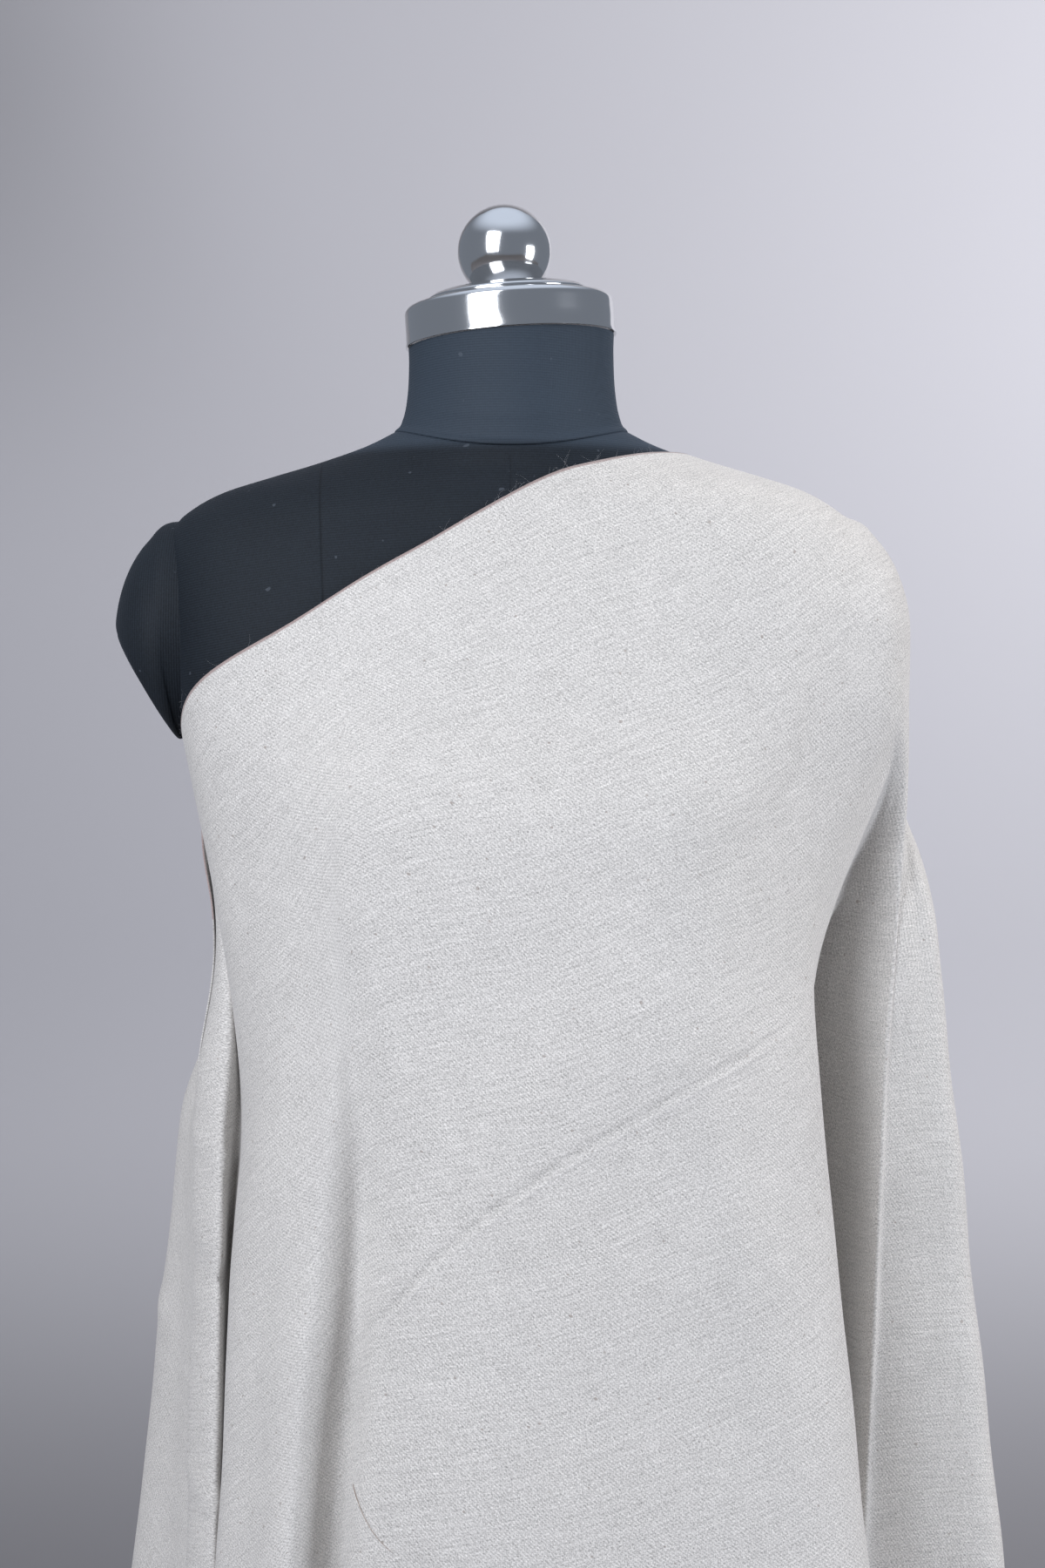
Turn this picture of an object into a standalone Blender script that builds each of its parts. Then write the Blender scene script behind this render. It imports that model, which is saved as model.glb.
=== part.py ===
"""A wool stole wound over one shoulder of a limbless dress form on a round stand.

Metres, +Z up, the form's front faces -Y, and the origin is the centre of the stand's underside.
Directions round the form are degrees about the vertical axis: 180 is the bare side, 270 the front,
360 the covered arm and 450 the back. They run on past 360, because the stole overlaps itself.
"""

import math

import bpy
import numpy as np
from mathutils import Vector
from mathutils.bvhtree import BVHTree
from mathutils.geometry import convex_hull_2d

# ---------------------------------------------------------------- driving dimensions
CLOTH_WALL = 0.0013
CLOTH_GAP = 0.0014
SEAM_GAP = 0.0003
SEAT_REACH = 0.012
NECK_RADIUS = 0.0545
NECK_TOP = 1.4685
CAP_RADIUS = 0.056
CAP_HEIGHT = 0.0215
CAP_EDGE = 0.0035
DISC_RADIUS = 0.044
DISC_HEIGHT = 0.0052
BALL_RADIUS = 0.025
BALL_SUNK = 0.0043
CAP_TILT = math.radians(4.2)
TORSO_FLOOR = 0.680
PLATE_HEIGHT = 0.008
POST_RADIUS = 0.016
BASE_RADIUS = 0.190
BASE_HEIGHT = 0.012
HUB_RADIUS = 0.034
HUB_HEIGHT = 0.030

TORSO_SIDES = 44
NECK_SIDES = 40
ROUND_SIDES = 40

# Rings of the torso from the bottom up. z is the height at the sides; dip lowers the front of a ring
# and rise lifts its back, so that the last ring is the slanted seam at the root of the neck.
TORSO_COLUMNS = ("z", "half_width", "front", "back", "dip", "rise", "squareness")
TORSO_RINGS = (
    (0.680, 0.1400, 0.101, 0.110, 0.0000, 0.0000, 2.1),
    (0.740, 0.1500, 0.109, 0.121, 0.0000, 0.0000, 2.1),
    (0.810, 0.1530, 0.112, 0.124, 0.0000, 0.0000, 2.1),
    (0.870, 0.1470, 0.107, 0.114, 0.0000, 0.0000, 2.1),
    (0.940, 0.1320, 0.096, 0.094, 0.0000, 0.0000, 2.2),
    (1.010, 0.1220, 0.085, 0.078, 0.0000, 0.0000, 2.2),
    (1.075, 0.1340, 0.092, 0.081, 0.0000, 0.0000, 2.3),
    (1.135, 0.1475, 0.105, 0.087, 0.0000, 0.0000, 2.4),
    (1.175, 0.1550, 0.111, 0.090, 0.0000, 0.0000, 2.5),
    (1.205, 0.1610, 0.112, 0.093, 0.0000, 0.0000, 2.6),
    (1.235, 0.1670, 0.109, 0.096, 0.0000, 0.0000, 2.8),
    (1.265, 0.1725, 0.102, 0.098, 0.0000, 0.0000, 3.2),
    (1.295, 0.1755, 0.095, 0.097, 0.0000, 0.0000, 3.5),
    (1.325, 0.1785, 0.088, 0.093, 0.0000, 0.0000, 3.6),
    (1.350, 0.1795, 0.081, 0.086, 0.0000, 0.0000, 3.4),
    (1.368, 0.1780, 0.075, 0.078, 0.0006, 0.0000, 3.0),
    (1.378, 0.1690, 0.072, 0.073, 0.0016, 0.0000, 2.7),
    (1.387, 0.1530, 0.068, 0.069, 0.0030, 0.0004, 2.5),
    (1.395, 0.1290, 0.065, 0.065, 0.0050, 0.0008, 2.3),
    (1.403, 0.1030, 0.062, 0.061, 0.0075, 0.0014, 2.2),
    (1.412, 0.0780, 0.060, 0.058, 0.0105, 0.0024, 2.1),
    (1.4205, 0.0610, 0.0575, 0.055, 0.0125, 0.0040, 2.0),
)
BUST = {"half_span": 0.082, "height": 1.205, "depth": 0.014, "spread": 0.036}

# The neck above its seam: height over the seam as a share of the neck, and how far it flares there.
NECK_RINGS = (
    (0.00, 0.0060),
    (0.10, 0.0040),
    (0.25, 0.0020),
    (0.50, 0.0005),
    (0.80, 0.0000),
    (1.00, 0.0002),
)

# Ovals of an arm cap from inside the torso out to the rim of its flat plate, each between a top and
# a bottom point. x runs outwards, and the left arm cap mirrors the right one.
ARM_COLUMNS = ("top_x", "top_z", "bottom_x", "bottom_z", "half_depth")
ARM_OVALS = (
    (0.1500, 1.3700, 0.1500, 1.2640, 0.0500),
    (0.1800, 1.3725, 0.1740, 1.2590, 0.0520),
    (0.1925, 1.3625, 0.1755, 1.2575, 0.0520),
    (0.2010, 1.3505, 0.1765, 1.2570, 0.0505),
    (0.2068, 1.3360, 0.1775, 1.2575, 0.0470),
    (0.2098, 1.3210, 0.1785, 1.2595, 0.0420),
    (0.2092, 1.3135, 0.1795, 1.2630, 0.0370),
)

# The stole's upper edge, from its hidden start to its hidden end: the height at which it crosses each
# direction, and the length of cloth that falls from there straight down to the lower edge.
EDGE_COLUMNS = ("direction", "height", "fall")
EDGE_POINTS = (
    (150.0, 1.232, 0.760),
    (168.0, 1.240, 0.780),
    (179.0, 1.2450, 0.800),
    (187.0, 1.2530, 0.800),
    (194.0, 1.2665, 0.800),
    (201.0, 1.2805, 0.800),
    (216.0, 1.3095, 0.800),
    (228.0, 1.336, 0.800),
    (245.0, 1.359, 0.800),
    (271.0, 1.3815, 0.795),
    (290.0, 1.3925, 0.785),
    (309.0, 1.3990, 0.765),
    (336.0, 1.4055, 0.720),
    (355.0, 1.4070, 0.705),
    (373.0, 1.4075, 0.705),
    (395.0, 1.403, 0.720),
    (420.0, 1.393, 0.750),
    (450.0, 1.373, 0.770),
    (479.0, 1.340, 0.780),
    (498.0, 1.305, 0.780),
    (513.0, 1.268, 0.780),
    (528.0, 1.226, 0.770),
    (538.0, 1.197, 0.760),
    (547.0, 1.163, 0.740),
)

# One row for each ridge and valley of the hanging cloth, in the order of the winding: the direction
# where it leaves the upper edge, its place at the two levels below, the height where it starts to
# leave the form, the drop in which it reaches its own line, and how far a second layer is lifted off
# the first.
MID_LEVEL = 1.05
LOW_LEVEL = 0.82
FOLD_COLUMNS = ("direction", "mid_x", "mid_y", "low_x", "low_y", "start", "settling", "lift")
FOLDS = {
    "hidden_start": (150.0, -0.132, 0.078, -0.140, 0.086, 1.18, 0.11, 0.0),
    "under_side": (166.0, -0.151, 0.040, -0.156, 0.045, 1.18, 0.11, 0.0),
    "tube_back": (177.0, -0.1580, 0.000, -0.1600, 0.000, 1.18, 0.11, 0.0),
    "tube_side": (183.0, -0.1650, -0.035, -0.1690, -0.035, 1.19, 0.11, 0.0),
    "tube_front": (189.0, -0.1570, -0.054, -0.1600, -0.056, 1.195, 0.11, 0.0),
    "slit_outer": (192.5, -0.1515, -0.046, -0.1530, -0.044, 1.19, 0.11, 0.0),
    "slit_inner": (196.0, -0.1430, -0.050, -0.1465, -0.050, 1.19, 0.11, 0.0),
    "panel_ridge": (200.0, -0.1355, -0.079, -0.1460, -0.082, 1.18, 0.11, 0.0),
    "bust_right": (212.0, -0.108, -0.112, -0.122, -0.116, 1.20, 0.11, 0.0),
    "valley_ridge": (226.0, -0.079, -0.125, -0.100, -0.135, 1.20, 0.26, 0.0),
    "soft_valley": (240.0, -0.063, -0.112, -0.088, -0.114, 1.20, 0.26, 0.0),
    "front_swell": (256.0, -0.018, -0.128, -0.024, -0.136, 1.15, 0.11, 0.0),
    "front_middle": (274.0, 0.024, -0.128, 0.026, -0.133, 1.18, 0.11, 0.0),
    "bust_left": (292.0, 0.072, -0.128, 0.082, -0.134, 1.20, 0.11, 0.0),
    "panel_turn": (305.0, 0.118, -0.118, 0.138, -0.124, 1.26, 0.20, 0.0),
    "panel_edge": (316.0, 0.1540, -0.090, 0.1800, -0.096, 1.27, 0.22, 0.0),
    "pleat_wall": (325.0, 0.1500, -0.045, 0.1660, -0.044, 1.265, 0.22, 0.0),
    "pleat": (333.0, 0.1570, 0.010, 0.1615, 0.012, 1.265, 0.22, 0.0),
    "arm_wall": (340.0, 0.1760, 0.006, 0.1735, 0.008, 1.265, 0.22, 0.0),
    "arm_ridge": (348.0, 0.1945, -0.006, 0.1850, -0.006, 1.27, 0.20, 0.0),
    "behind_ridge": (356.0, 0.2055, -0.002, 0.2025, -0.002, 1.27, 0.16, 0.0),
    "band": (364.0, 0.2225, 0.008, 0.2310, 0.010, 1.27, 0.13, 0.0),
    "band_edge": (374.0, 0.2385, 0.022, 0.2630, 0.026, 1.285, 0.11, 0.0),
    "band_back": (386.0, 0.2340, 0.072, 0.2550, 0.084, 1.28, 0.11, 0.0),
    "back_valley_a": (400.0, 0.190, 0.116, 0.202, 0.128, 1.26, 0.11, 0.0),
    "back_ridge_a": (414.0, 0.148, 0.138, 0.162, 0.166, 1.22, 0.11, 0.0),
    "back_valley_b": (430.0, 0.098, 0.122, 0.104, 0.138, 1.18, 0.11, 0.0),
    "back_ridge_b": (446.0, 0.044, 0.136, 0.050, 0.162, 1.20, 0.11, 0.0),
    "back_valley_c": (462.0, -0.010, 0.121, -0.010, 0.140, 1.17, 0.11, 0.0),
    "back_ridge_c": (479.0, -0.064, 0.132, -0.076, 0.160, 1.18, 0.11, 0.0),
    "back_valley_d": (496.0, -0.114, 0.112, -0.128, 0.132, 1.16, 0.11, 0.0015),
    "back_ridge_d": (511.0, -0.156, 0.096, -0.182, 0.118, 1.17, 0.11, 0.0036),
    "outer_side": (526.0, -0.1810, 0.054, -0.2080, 0.064, 1.18, 0.11, 0.0042),
    "outer_turn": (538.0, -0.1730, 0.020, -0.1840, 0.022, 1.19, 0.11, 0.0042),
    "hidden_end": (547.0, -0.1660, -0.006, -0.1680, -0.004, 1.19, 0.11, 0.0024),
}
CLING_SLOPE = 0.25
CLING_WIDTH = 28.0
TURN_LEVEL = 1.15
FRONT_ENDS_AT = "pleat"
ARM_ENDS_AT = "band_back"
COLUMNS_PER_FOLD = 3
CLOTH_ROWS = 17
ROW_CROWDING = 1.25

# Name: base colour, roughness and metallic value.
FINISHES = {
    "wool": ((0.64, 0.62, 0.60, 1.0), 0.90, 0.0),
    "jersey": ((0.020, 0.023, 0.030, 1.0), 0.75, 0.0),
    "polished_metal": ((0.70, 0.70, 0.70, 1.0), 0.18, 1.0),
    "painted_steel": ((0.030, 0.030, 0.032, 1.0), 0.45, 0.5),
}


# ---------------------------------------------------------------- small tools
def clear_scene():
    for obj in list(bpy.data.objects):
        bpy.data.objects.remove(obj, do_unlink=True)


def finish_named(name):
    """The material of this finish, made the first time it is asked for."""
    found = bpy.data.materials.get(name)
    if found:
        return found
    colour, roughness, metallic = FINISHES[name]
    made = bpy.data.materials.new(name)
    made.use_nodes = True
    shader = made.node_tree.nodes["Principled BSDF"]
    shader.inputs["Base Color"].default_value = colour
    shader.inputs["Roughness"].default_value = roughness
    shader.inputs["Metallic"].default_value = metallic
    made.diffuse_color = colour
    return made


def solid(name, points, faces, finish, sharp=math.radians(40)):
    """A smooth-shaded mesh object in the scene."""
    mesh = bpy.data.meshes.new(name)
    mesh.from_pydata(np.asarray(points, float).tolist(), [], faces)
    mesh.shade_smooth()
    mesh.set_sharp_from_angle(angle=sharp)
    mesh.materials.append(finish_named(finish))
    obj = bpy.data.objects.new(name, mesh)
    bpy.context.scene.collection.objects.link(obj)
    return obj


def through(places, values, at):
    """A smooth curve through table values: cubics whose slopes come from the neighbouring rows."""
    places = np.asarray(places, float)
    values = np.asarray(values, float)
    step = np.diff(places)
    slope = np.diff(values) / step
    tangent = np.empty_like(values)
    tangent[1:-1] = (slope[:-1] * step[1:] + slope[1:] * step[:-1]) / (step[:-1] + step[1:])
    tangent[0] = slope[0]
    tangent[-1] = slope[-1]
    at = np.clip(at, places[0], places[-1])
    row = np.clip(np.searchsorted(places, at, side="right") - 1, 0, len(step) - 1)
    s = (at - places[row]) / step[row]
    start = (1 + 2 * s) * (1 - s) ** 2 * values[row] + s**2 * (3 - 2 * s) * values[row + 1]
    lean = s * (1 - s) ** 2 * tangent[row] - s**2 * (1 - s) * tangent[row + 1]
    return start + lean * step[row]


def eased(low, high, value):
    """0 below low, 1 above high, and a smooth step between them."""
    s = np.clip((value - low) / (high - low), 0.0, 1.0)
    return s * s * (3.0 - 2.0 * s)


def columns_of(table, names):
    """The table's columns as arrays, by name."""
    return dict(zip(names, np.array(table, float).T))


def around(count):
    return np.arange(count) * (2.0 * math.pi / count)


# ---------------------------------------------------------------- the dress form
def loft(rings, bottom_centre, top_centre):
    """Points and faces of a closed skin through rings of equal length, counter-clockwise from above."""
    rings = np.asarray(rings, float)
    layers, sides = rings.shape[:2]
    points = np.vstack([rings.reshape(-1, 3), [bottom_centre], [top_centre]])
    low = layers * sides
    faces = []
    for layer in range(layers - 1):
        for side in range(sides):
            a = layer * sides + side
            b = layer * sides + (side + 1) % sides
            faces.append((a, b, b + sides, a + sides))
    last = (layers - 1) * sides
    for side in range(sides):
        after = (side + 1) % sides
        faces.append((low, after, side))
        faces.append((low + 1, last + side, last + after))
    return points, faces


def torso_ring(row, swell):
    """One ring of the torso, a rounded rectangle with the bust's two mounds, moved out by swell."""
    angle = around(TORSO_SIDES)
    side = np.cos(angle)
    depth = np.sin(angle)
    power = 2.0 / row["squareness"]
    x = (row["half_width"] + swell) * np.sign(side) * np.abs(side) ** power
    reach = np.where(depth < 0, row["front"], row["back"]) + swell
    y = reach * np.sign(depth) * np.abs(depth) ** power
    away = (np.abs(x) - BUST["half_span"]) ** 2 + (row["z"] - BUST["height"]) ** 2
    mound = BUST["depth"] * np.exp(-away / (2 * BUST["spread"] ** 2))
    y -= mound * eased(0.0, 0.6, -depth)
    front_share = np.clip(-y / row["front"], 0, 1) ** 2
    back_share = np.clip(y / row["back"], 0, 1) ** 2
    z = row["z"] - row["dip"] * front_share + row["rise"] * back_share
    return np.stack([x, y, z], axis=1)


def torso_rings(swell=0.0):
    """Every ring of the torso, with one more between each two rows of the table."""
    table = columns_of(TORSO_RINGS, TORSO_COLUMNS)
    rows = np.arange(len(TORSO_RINGS))
    places = np.linspace(0, rows[-1], 2 * rows[-1] + 1)
    smooth = {name: through(rows, values, places) for name, values in table.items()}
    rings = [
        torso_ring({name: values[i] for name, values in smooth.items()}, swell)
        for i in range(len(places))
    ]
    rings[0][:, 2] -= swell
    rings[-1][:, 2] += swell
    return np.array(rings)


def torso_skin(swell=0.0):
    rings = torso_rings(swell)
    return loft(rings, (0, 0, rings[0][0, 2]), (0, 0, rings[-1][:, 2].mean()))


def make_torso():
    points, faces = torso_skin()
    return solid("torso", points, faces, "jersey", sharp=math.radians(60))


def neck_seam():
    """The slanted ring at the root of the neck, resampled to the neck's number of sides."""
    row = {name: values[-1] for name, values in columns_of(TORSO_RINGS, TORSO_COLUMNS).items()}
    angle = around(NECK_SIDES)
    x = row["half_width"] * np.cos(angle)
    reach = np.where(np.sin(angle) < 0, row["front"], row["back"])
    y = reach * np.sin(angle)
    front_share = np.clip(-np.sin(angle), 0, 1) ** 2
    back_share = np.clip(np.sin(angle), 0, 1) ** 2
    z = row["z"] - row["dip"] * front_share + row["rise"] * back_share
    return np.stack([x, y, z], axis=1)


def make_neck():
    """The neck stands on the torso's last ring and narrows to the cap, whose slant its top follows."""
    seam = neck_seam() + np.array([0.0, 0.0, SEAM_GAP])
    angle = around(NECK_SIDES)
    top_z = NECK_TOP + math.tan(CAP_TILT) * NECK_RADIUS * np.cos(angle)
    rings = []
    for share, flare in NECK_RINGS:
        radius = NECK_RADIUS + flare
        x = radius * np.cos(angle)
        y = radius * np.sin(angle)
        z = seam[:, 2] + share * (top_z - seam[:, 2])
        rings.append(np.stack([x, y, z], axis=1))
    rings[0][:, :2] = seam[:, :2]
    points, faces = loft(rings, (0, 0, seam[:, 2].mean()), (0, 0, NECK_TOP))
    return solid("neck", points, faces, "jersey", sharp=math.radians(60))


def make_arm_cap(name, outwards, cutter):
    """A stub of upper arm: ovals that fan out to the oblique plate, cut back from the torso's side."""
    angle = around(32)
    rings = []
    for row in ARM_OVALS:
        oval = dict(zip(ARM_COLUMNS, row))
        top = np.array([oval["top_x"], 0.0, oval["top_z"]])
        bottom = np.array([oval["bottom_x"], 0.0, oval["bottom_z"]])
        rise = np.cos(angle)[:, None] * (top - bottom) / 2
        depth = np.sin(angle)[:, None] * np.array([0.0, oval["half_depth"], 0.0])
        rings.append((top + bottom) / 2 + rise + outwards * depth)
    rings = np.array(rings)
    rings[:, :, 0] *= outwards
    centres = rings.mean(axis=1)
    points, faces = loft(rings, centres[0], centres[-1])
    faces = [face[::-1] for face in faces]
    arm = solid(name, points, faces, "jersey", sharp=math.radians(35))
    cut = arm.modifiers.new("torso side", "BOOLEAN")
    cut.operation = "DIFFERENCE"
    cut.solver = "EXACT"
    cut.object = cutter
    return arm


def make_torso_cutter():
    """The torso's skin a seam's gap further out, used only to cut the arm caps."""
    points, faces = torso_skin(SEAM_GAP)
    cutter = solid("torso_cutter", points, faces, "jersey")
    cutter.hide_render = True
    cutter.display_type = "WIRE"
    return cutter


def turned(name, profile, base, tilt, finish):
    """A profile of (radius, height) points from the axis at the bottom to the axis at the top, turned
    round the vertical and then tilted about the Y axis through its base point."""
    angle = around(ROUND_SIDES)
    inner = [point for point in profile if point[0] > 0]
    rings = np.array(
        [
            np.stack([r * np.cos(angle), r * np.sin(angle), np.full(ROUND_SIDES, h)], axis=1)
            for r, h in inner
        ]
    )
    points, faces = loft(rings, (0, 0, profile[0][1]), (0, 0, profile[-1][1]))
    lean = np.array(
        [
            [math.cos(tilt), 0.0, -math.sin(tilt)],
            [0.0, 1.0, 0.0],
            [math.sin(tilt), 0.0, math.cos(tilt)],
        ]
    )
    return solid(name, points @ lean.T + np.array(base), faces, finish)


def rounded_slab(radius, low, high, edge, steps=4):
    """A disc's profile with rounded rims."""
    profile = [(0.0, low)]
    for i in range(steps + 1):
        turn = math.pi / 2 * i / steps
        profile.append((radius - edge + edge * math.sin(turn), low + edge - edge * math.cos(turn)))
    for i in range(steps + 1):
        turn = math.pi / 2 * i / steps
        profile.append((radius - edge + edge * math.cos(turn), high - edge + edge * math.sin(turn)))
    profile.append((0.0, high))
    return profile


def along_cap(height):
    """The point at this height on the tilted axis of the neck cap."""
    return (-math.sin(CAP_TILT) * height, 0.0, NECK_TOP + math.cos(CAP_TILT) * height)


def make_cap():
    """Cap, raised disc and ball, each one seam's gap above the piece below it."""
    cap_low = SEAM_GAP
    cap_high = cap_low + CAP_HEIGHT
    disc_low = cap_high + SEAM_GAP
    disc_high = disc_low + DISC_HEIGHT
    ball_low = disc_high + SEAM_GAP
    turned(
        "neck_cap",
        rounded_slab(CAP_RADIUS, 0.0, CAP_HEIGHT, CAP_EDGE),
        along_cap(cap_low),
        CAP_TILT,
        "polished_metal",
    )
    turned(
        "cap_disc",
        rounded_slab(DISC_RADIUS, 0.0, DISC_HEIGHT, 0.0015, steps=3),
        along_cap(disc_low),
        CAP_TILT,
        "polished_metal",
    )
    start = math.acos((BALL_RADIUS - BALL_SUNK) / BALL_RADIUS)
    steps = 16
    profile = [(0.0, 0.0)]
    for i in range(steps):
        turn = start + (math.pi - start) * i / steps
        height = BALL_RADIUS - BALL_SUNK - BALL_RADIUS * math.cos(turn)
        profile.append((BALL_RADIUS * math.sin(turn), height))
    profile.append((0.0, 2 * BALL_RADIUS - BALL_SUNK))
    turned("ball_finial", profile, along_cap(ball_low), CAP_TILT, "polished_metal")


def make_stand():
    """The plate under the torso, the post and the round base, which has a raised hub."""
    plate_top = TORSO_FLOOR - SEAM_GAP
    plate_low = plate_top - PLATE_HEIGHT
    ring = torso_rings()[0]
    outline = ring * np.array([0.96, 0.96, 0.0])
    rings = [outline + np.array([0, 0, z]) for z in (plate_low, plate_top)]
    points, faces = loft(rings, (0, 0, plate_low), (0, 0, plate_top))
    solid("bottom_plate", points, faces, "painted_steel")
    hub_top = BASE_HEIGHT + HUB_HEIGHT
    post_low = hub_top + SEAM_GAP
    post_high = plate_low - SEAM_GAP
    turned(
        "post",
        rounded_slab(POST_RADIUS, 0.0, post_high - post_low, 0.001, steps=2),
        (0.0, 0.0, post_low),
        0.0,
        "polished_metal",
    )
    base = [
        (0.0, 0.0),
        (BASE_RADIUS - 0.003, 0.0),
        (BASE_RADIUS, 0.003),
        (BASE_RADIUS, BASE_HEIGHT - 0.004),
        (BASE_RADIUS - 0.004, BASE_HEIGHT),
        (HUB_RADIUS + 0.010, BASE_HEIGHT + 0.002),
        (HUB_RADIUS + 0.002, BASE_HEIGHT + 0.008),
        (HUB_RADIUS - 0.004, hub_top - 0.003),
        (HUB_RADIUS - 0.008, hub_top),
        (0.0, hub_top),
    ]
    turned("stand_base", base, (0.0, 0.0, 0.0), 0.0, "painted_steel")


# ---------------------------------------------------------------- the stole
class Form:
    """The dress form's skin as the cloth meets it, read by rays towards the vertical axis."""

    STEP = 3
    HEIGHTS = np.concatenate([np.arange(1.424, 1.25, -0.002), np.arange(1.25, 0.55, -0.01)])

    def __init__(self, carriers, neighbours):
        """The cloth is stretched over the carriers, and only kept clear of the neighbours."""
        self.trees = []
        for obj in carriers + neighbours:
            points = [vertex.co.copy() for vertex in obj.data.vertices]
            faces = [list(face.vertices) for face in obj.data.polygons]
            self.trees.append(BVHTree.FromPolygons(points, faces))
        self.carriers = self.trees[: len(carriers)]
        self.directions = np.radians(np.arange(0, 360, self.STEP))

    def radius(self, direction, height):
        outward = Vector((math.cos(direction), math.sin(direction), 0.0))
        start = outward + Vector((0.0, 0.0, height))
        hits = [tree.ray_cast(start, -outward, 1.0)[3] for tree in self.carriers]
        return 1.0 - min((far for far in hits if far is not None), default=1.0)

    def taut(self, edge_height):
        """Distance of taut cloth from the axis, by height and direction. Going down from the upper
        edge it comes back in only where it is wound tight under the bare arm, and each level is
        stretched flat over what it has passed."""
        away = (np.degrees(self.directions) - 180.0) / CLING_WIDTH
        cling = CLING_SLOPE * np.exp(-(away**2))
        skin = np.array([[self.radius(d, z) for d in self.directions] for z in self.HEIGHTS])
        skin += CLOTH_GAP
        held = skin.copy()
        for level in range(1, len(self.HEIGHTS)):
            covered = self.HEIGHTS[level - 1] <= edge_height
            kept = held[level - 1] - cling * (self.HEIGHTS[level - 1] - self.HEIGHTS[level])
            held[level] = np.where(covered, np.maximum(kept, skin[level]), skin[level])
        for level, height in enumerate(self.HEIGHTS):
            covered = np.flatnonzero(height <= edge_height)
            if len(covered) > 2:
                held[level, covered] = self.stretched(held[level], covered)
        return held

    def stretched(self, radii, covered):
        """The radii of these directions on the hull of their own points and the axis."""
        flat = np.stack([np.cos(self.directions), np.sin(self.directions)], axis=1) * radii[:, None]
        corners = np.vstack([flat[covered], [[0.0, 0.0]]])
        ring = corners[convex_hull_2d(corners.tolist())]
        after = np.roll(ring, -1, axis=0)
        along = after - ring
        out = radii[covered].copy()
        for i, index in enumerate(covered):
            ray = np.array([math.cos(self.directions[index]), math.sin(self.directions[index])])
            cross = ray[0] * along[:, 1] - ray[1] * along[:, 0]
            safe = np.where(np.abs(cross) < 1e-12, 1e-12, cross)
            reach = (ring[:, 0] * along[:, 1] - ring[:, 1] * along[:, 0]) / safe
            share = (ring[:, 0] * ray[1] - ring[:, 1] * ray[0]) / safe
            hits = reach[(share >= -1e-9) & (share <= 1 + 1e-9) & (reach > 0)]
            if len(hits):
                out[i] = max(out[i], hits.max())
        return out

    def lift_needed(self, points, gap):
        """How far each point has to move to lie this gap outside every piece of the form."""
        push = np.zeros_like(points)
        for index, point in enumerate(points):
            at = Vector(point)
            for tree in self.trees:
                spot, normal, _, far = tree.find_nearest(at)
                depth = (at - spot).dot(normal)
                if depth < gap and far < SEAT_REACH:
                    at += normal * (gap - depth)
            push[index] = at - Vector(point)
        return push

    def seated(self, grid, gap):
        """The grid, lifted where its points or the middles of its cells come too near to the form."""
        grid = grid.copy()
        for _ in range(3):
            grid += self.lift_needed(grid.reshape(-1, 3), gap).reshape(grid.shape)
            middles = (grid[:-1, :-1] + grid[1:, :-1] + grid[:-1, 1:] + grid[1:, 1:]) / 4
            push = self.lift_needed(middles.reshape(-1, 3), gap).reshape(middles.shape)
            most = np.zeros_like(grid)
            for down in (slice(None, -1), slice(1, None)):
                for along in (slice(None, -1), slice(1, None)):
                    corner = most[down, along]
                    larger = np.linalg.norm(push, axis=2) > np.linalg.norm(corner, axis=2)
                    corner[larger] = push[larger]
            grid += most
        return grid


def read_field(field, heights, directions, height, direction):
    """The field's value between its levels and, round the circle, between its directions."""
    level = np.interp(-height, -heights, np.arange(len(heights)))
    turn = (np.degrees(direction) / Form.STEP) % len(directions)
    i = np.minimum(level.astype(int), len(heights) - 2)
    j = turn.astype(int)
    a = level - i
    b = turn - j
    k = (j + 1) % len(directions)
    upper = field[i, j] * (1 - b) + field[i, k] * b
    lower = field[i + 1, j] * (1 - b) + field[i + 1, k] * b
    return upper * (1 - a) + lower * a


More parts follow.
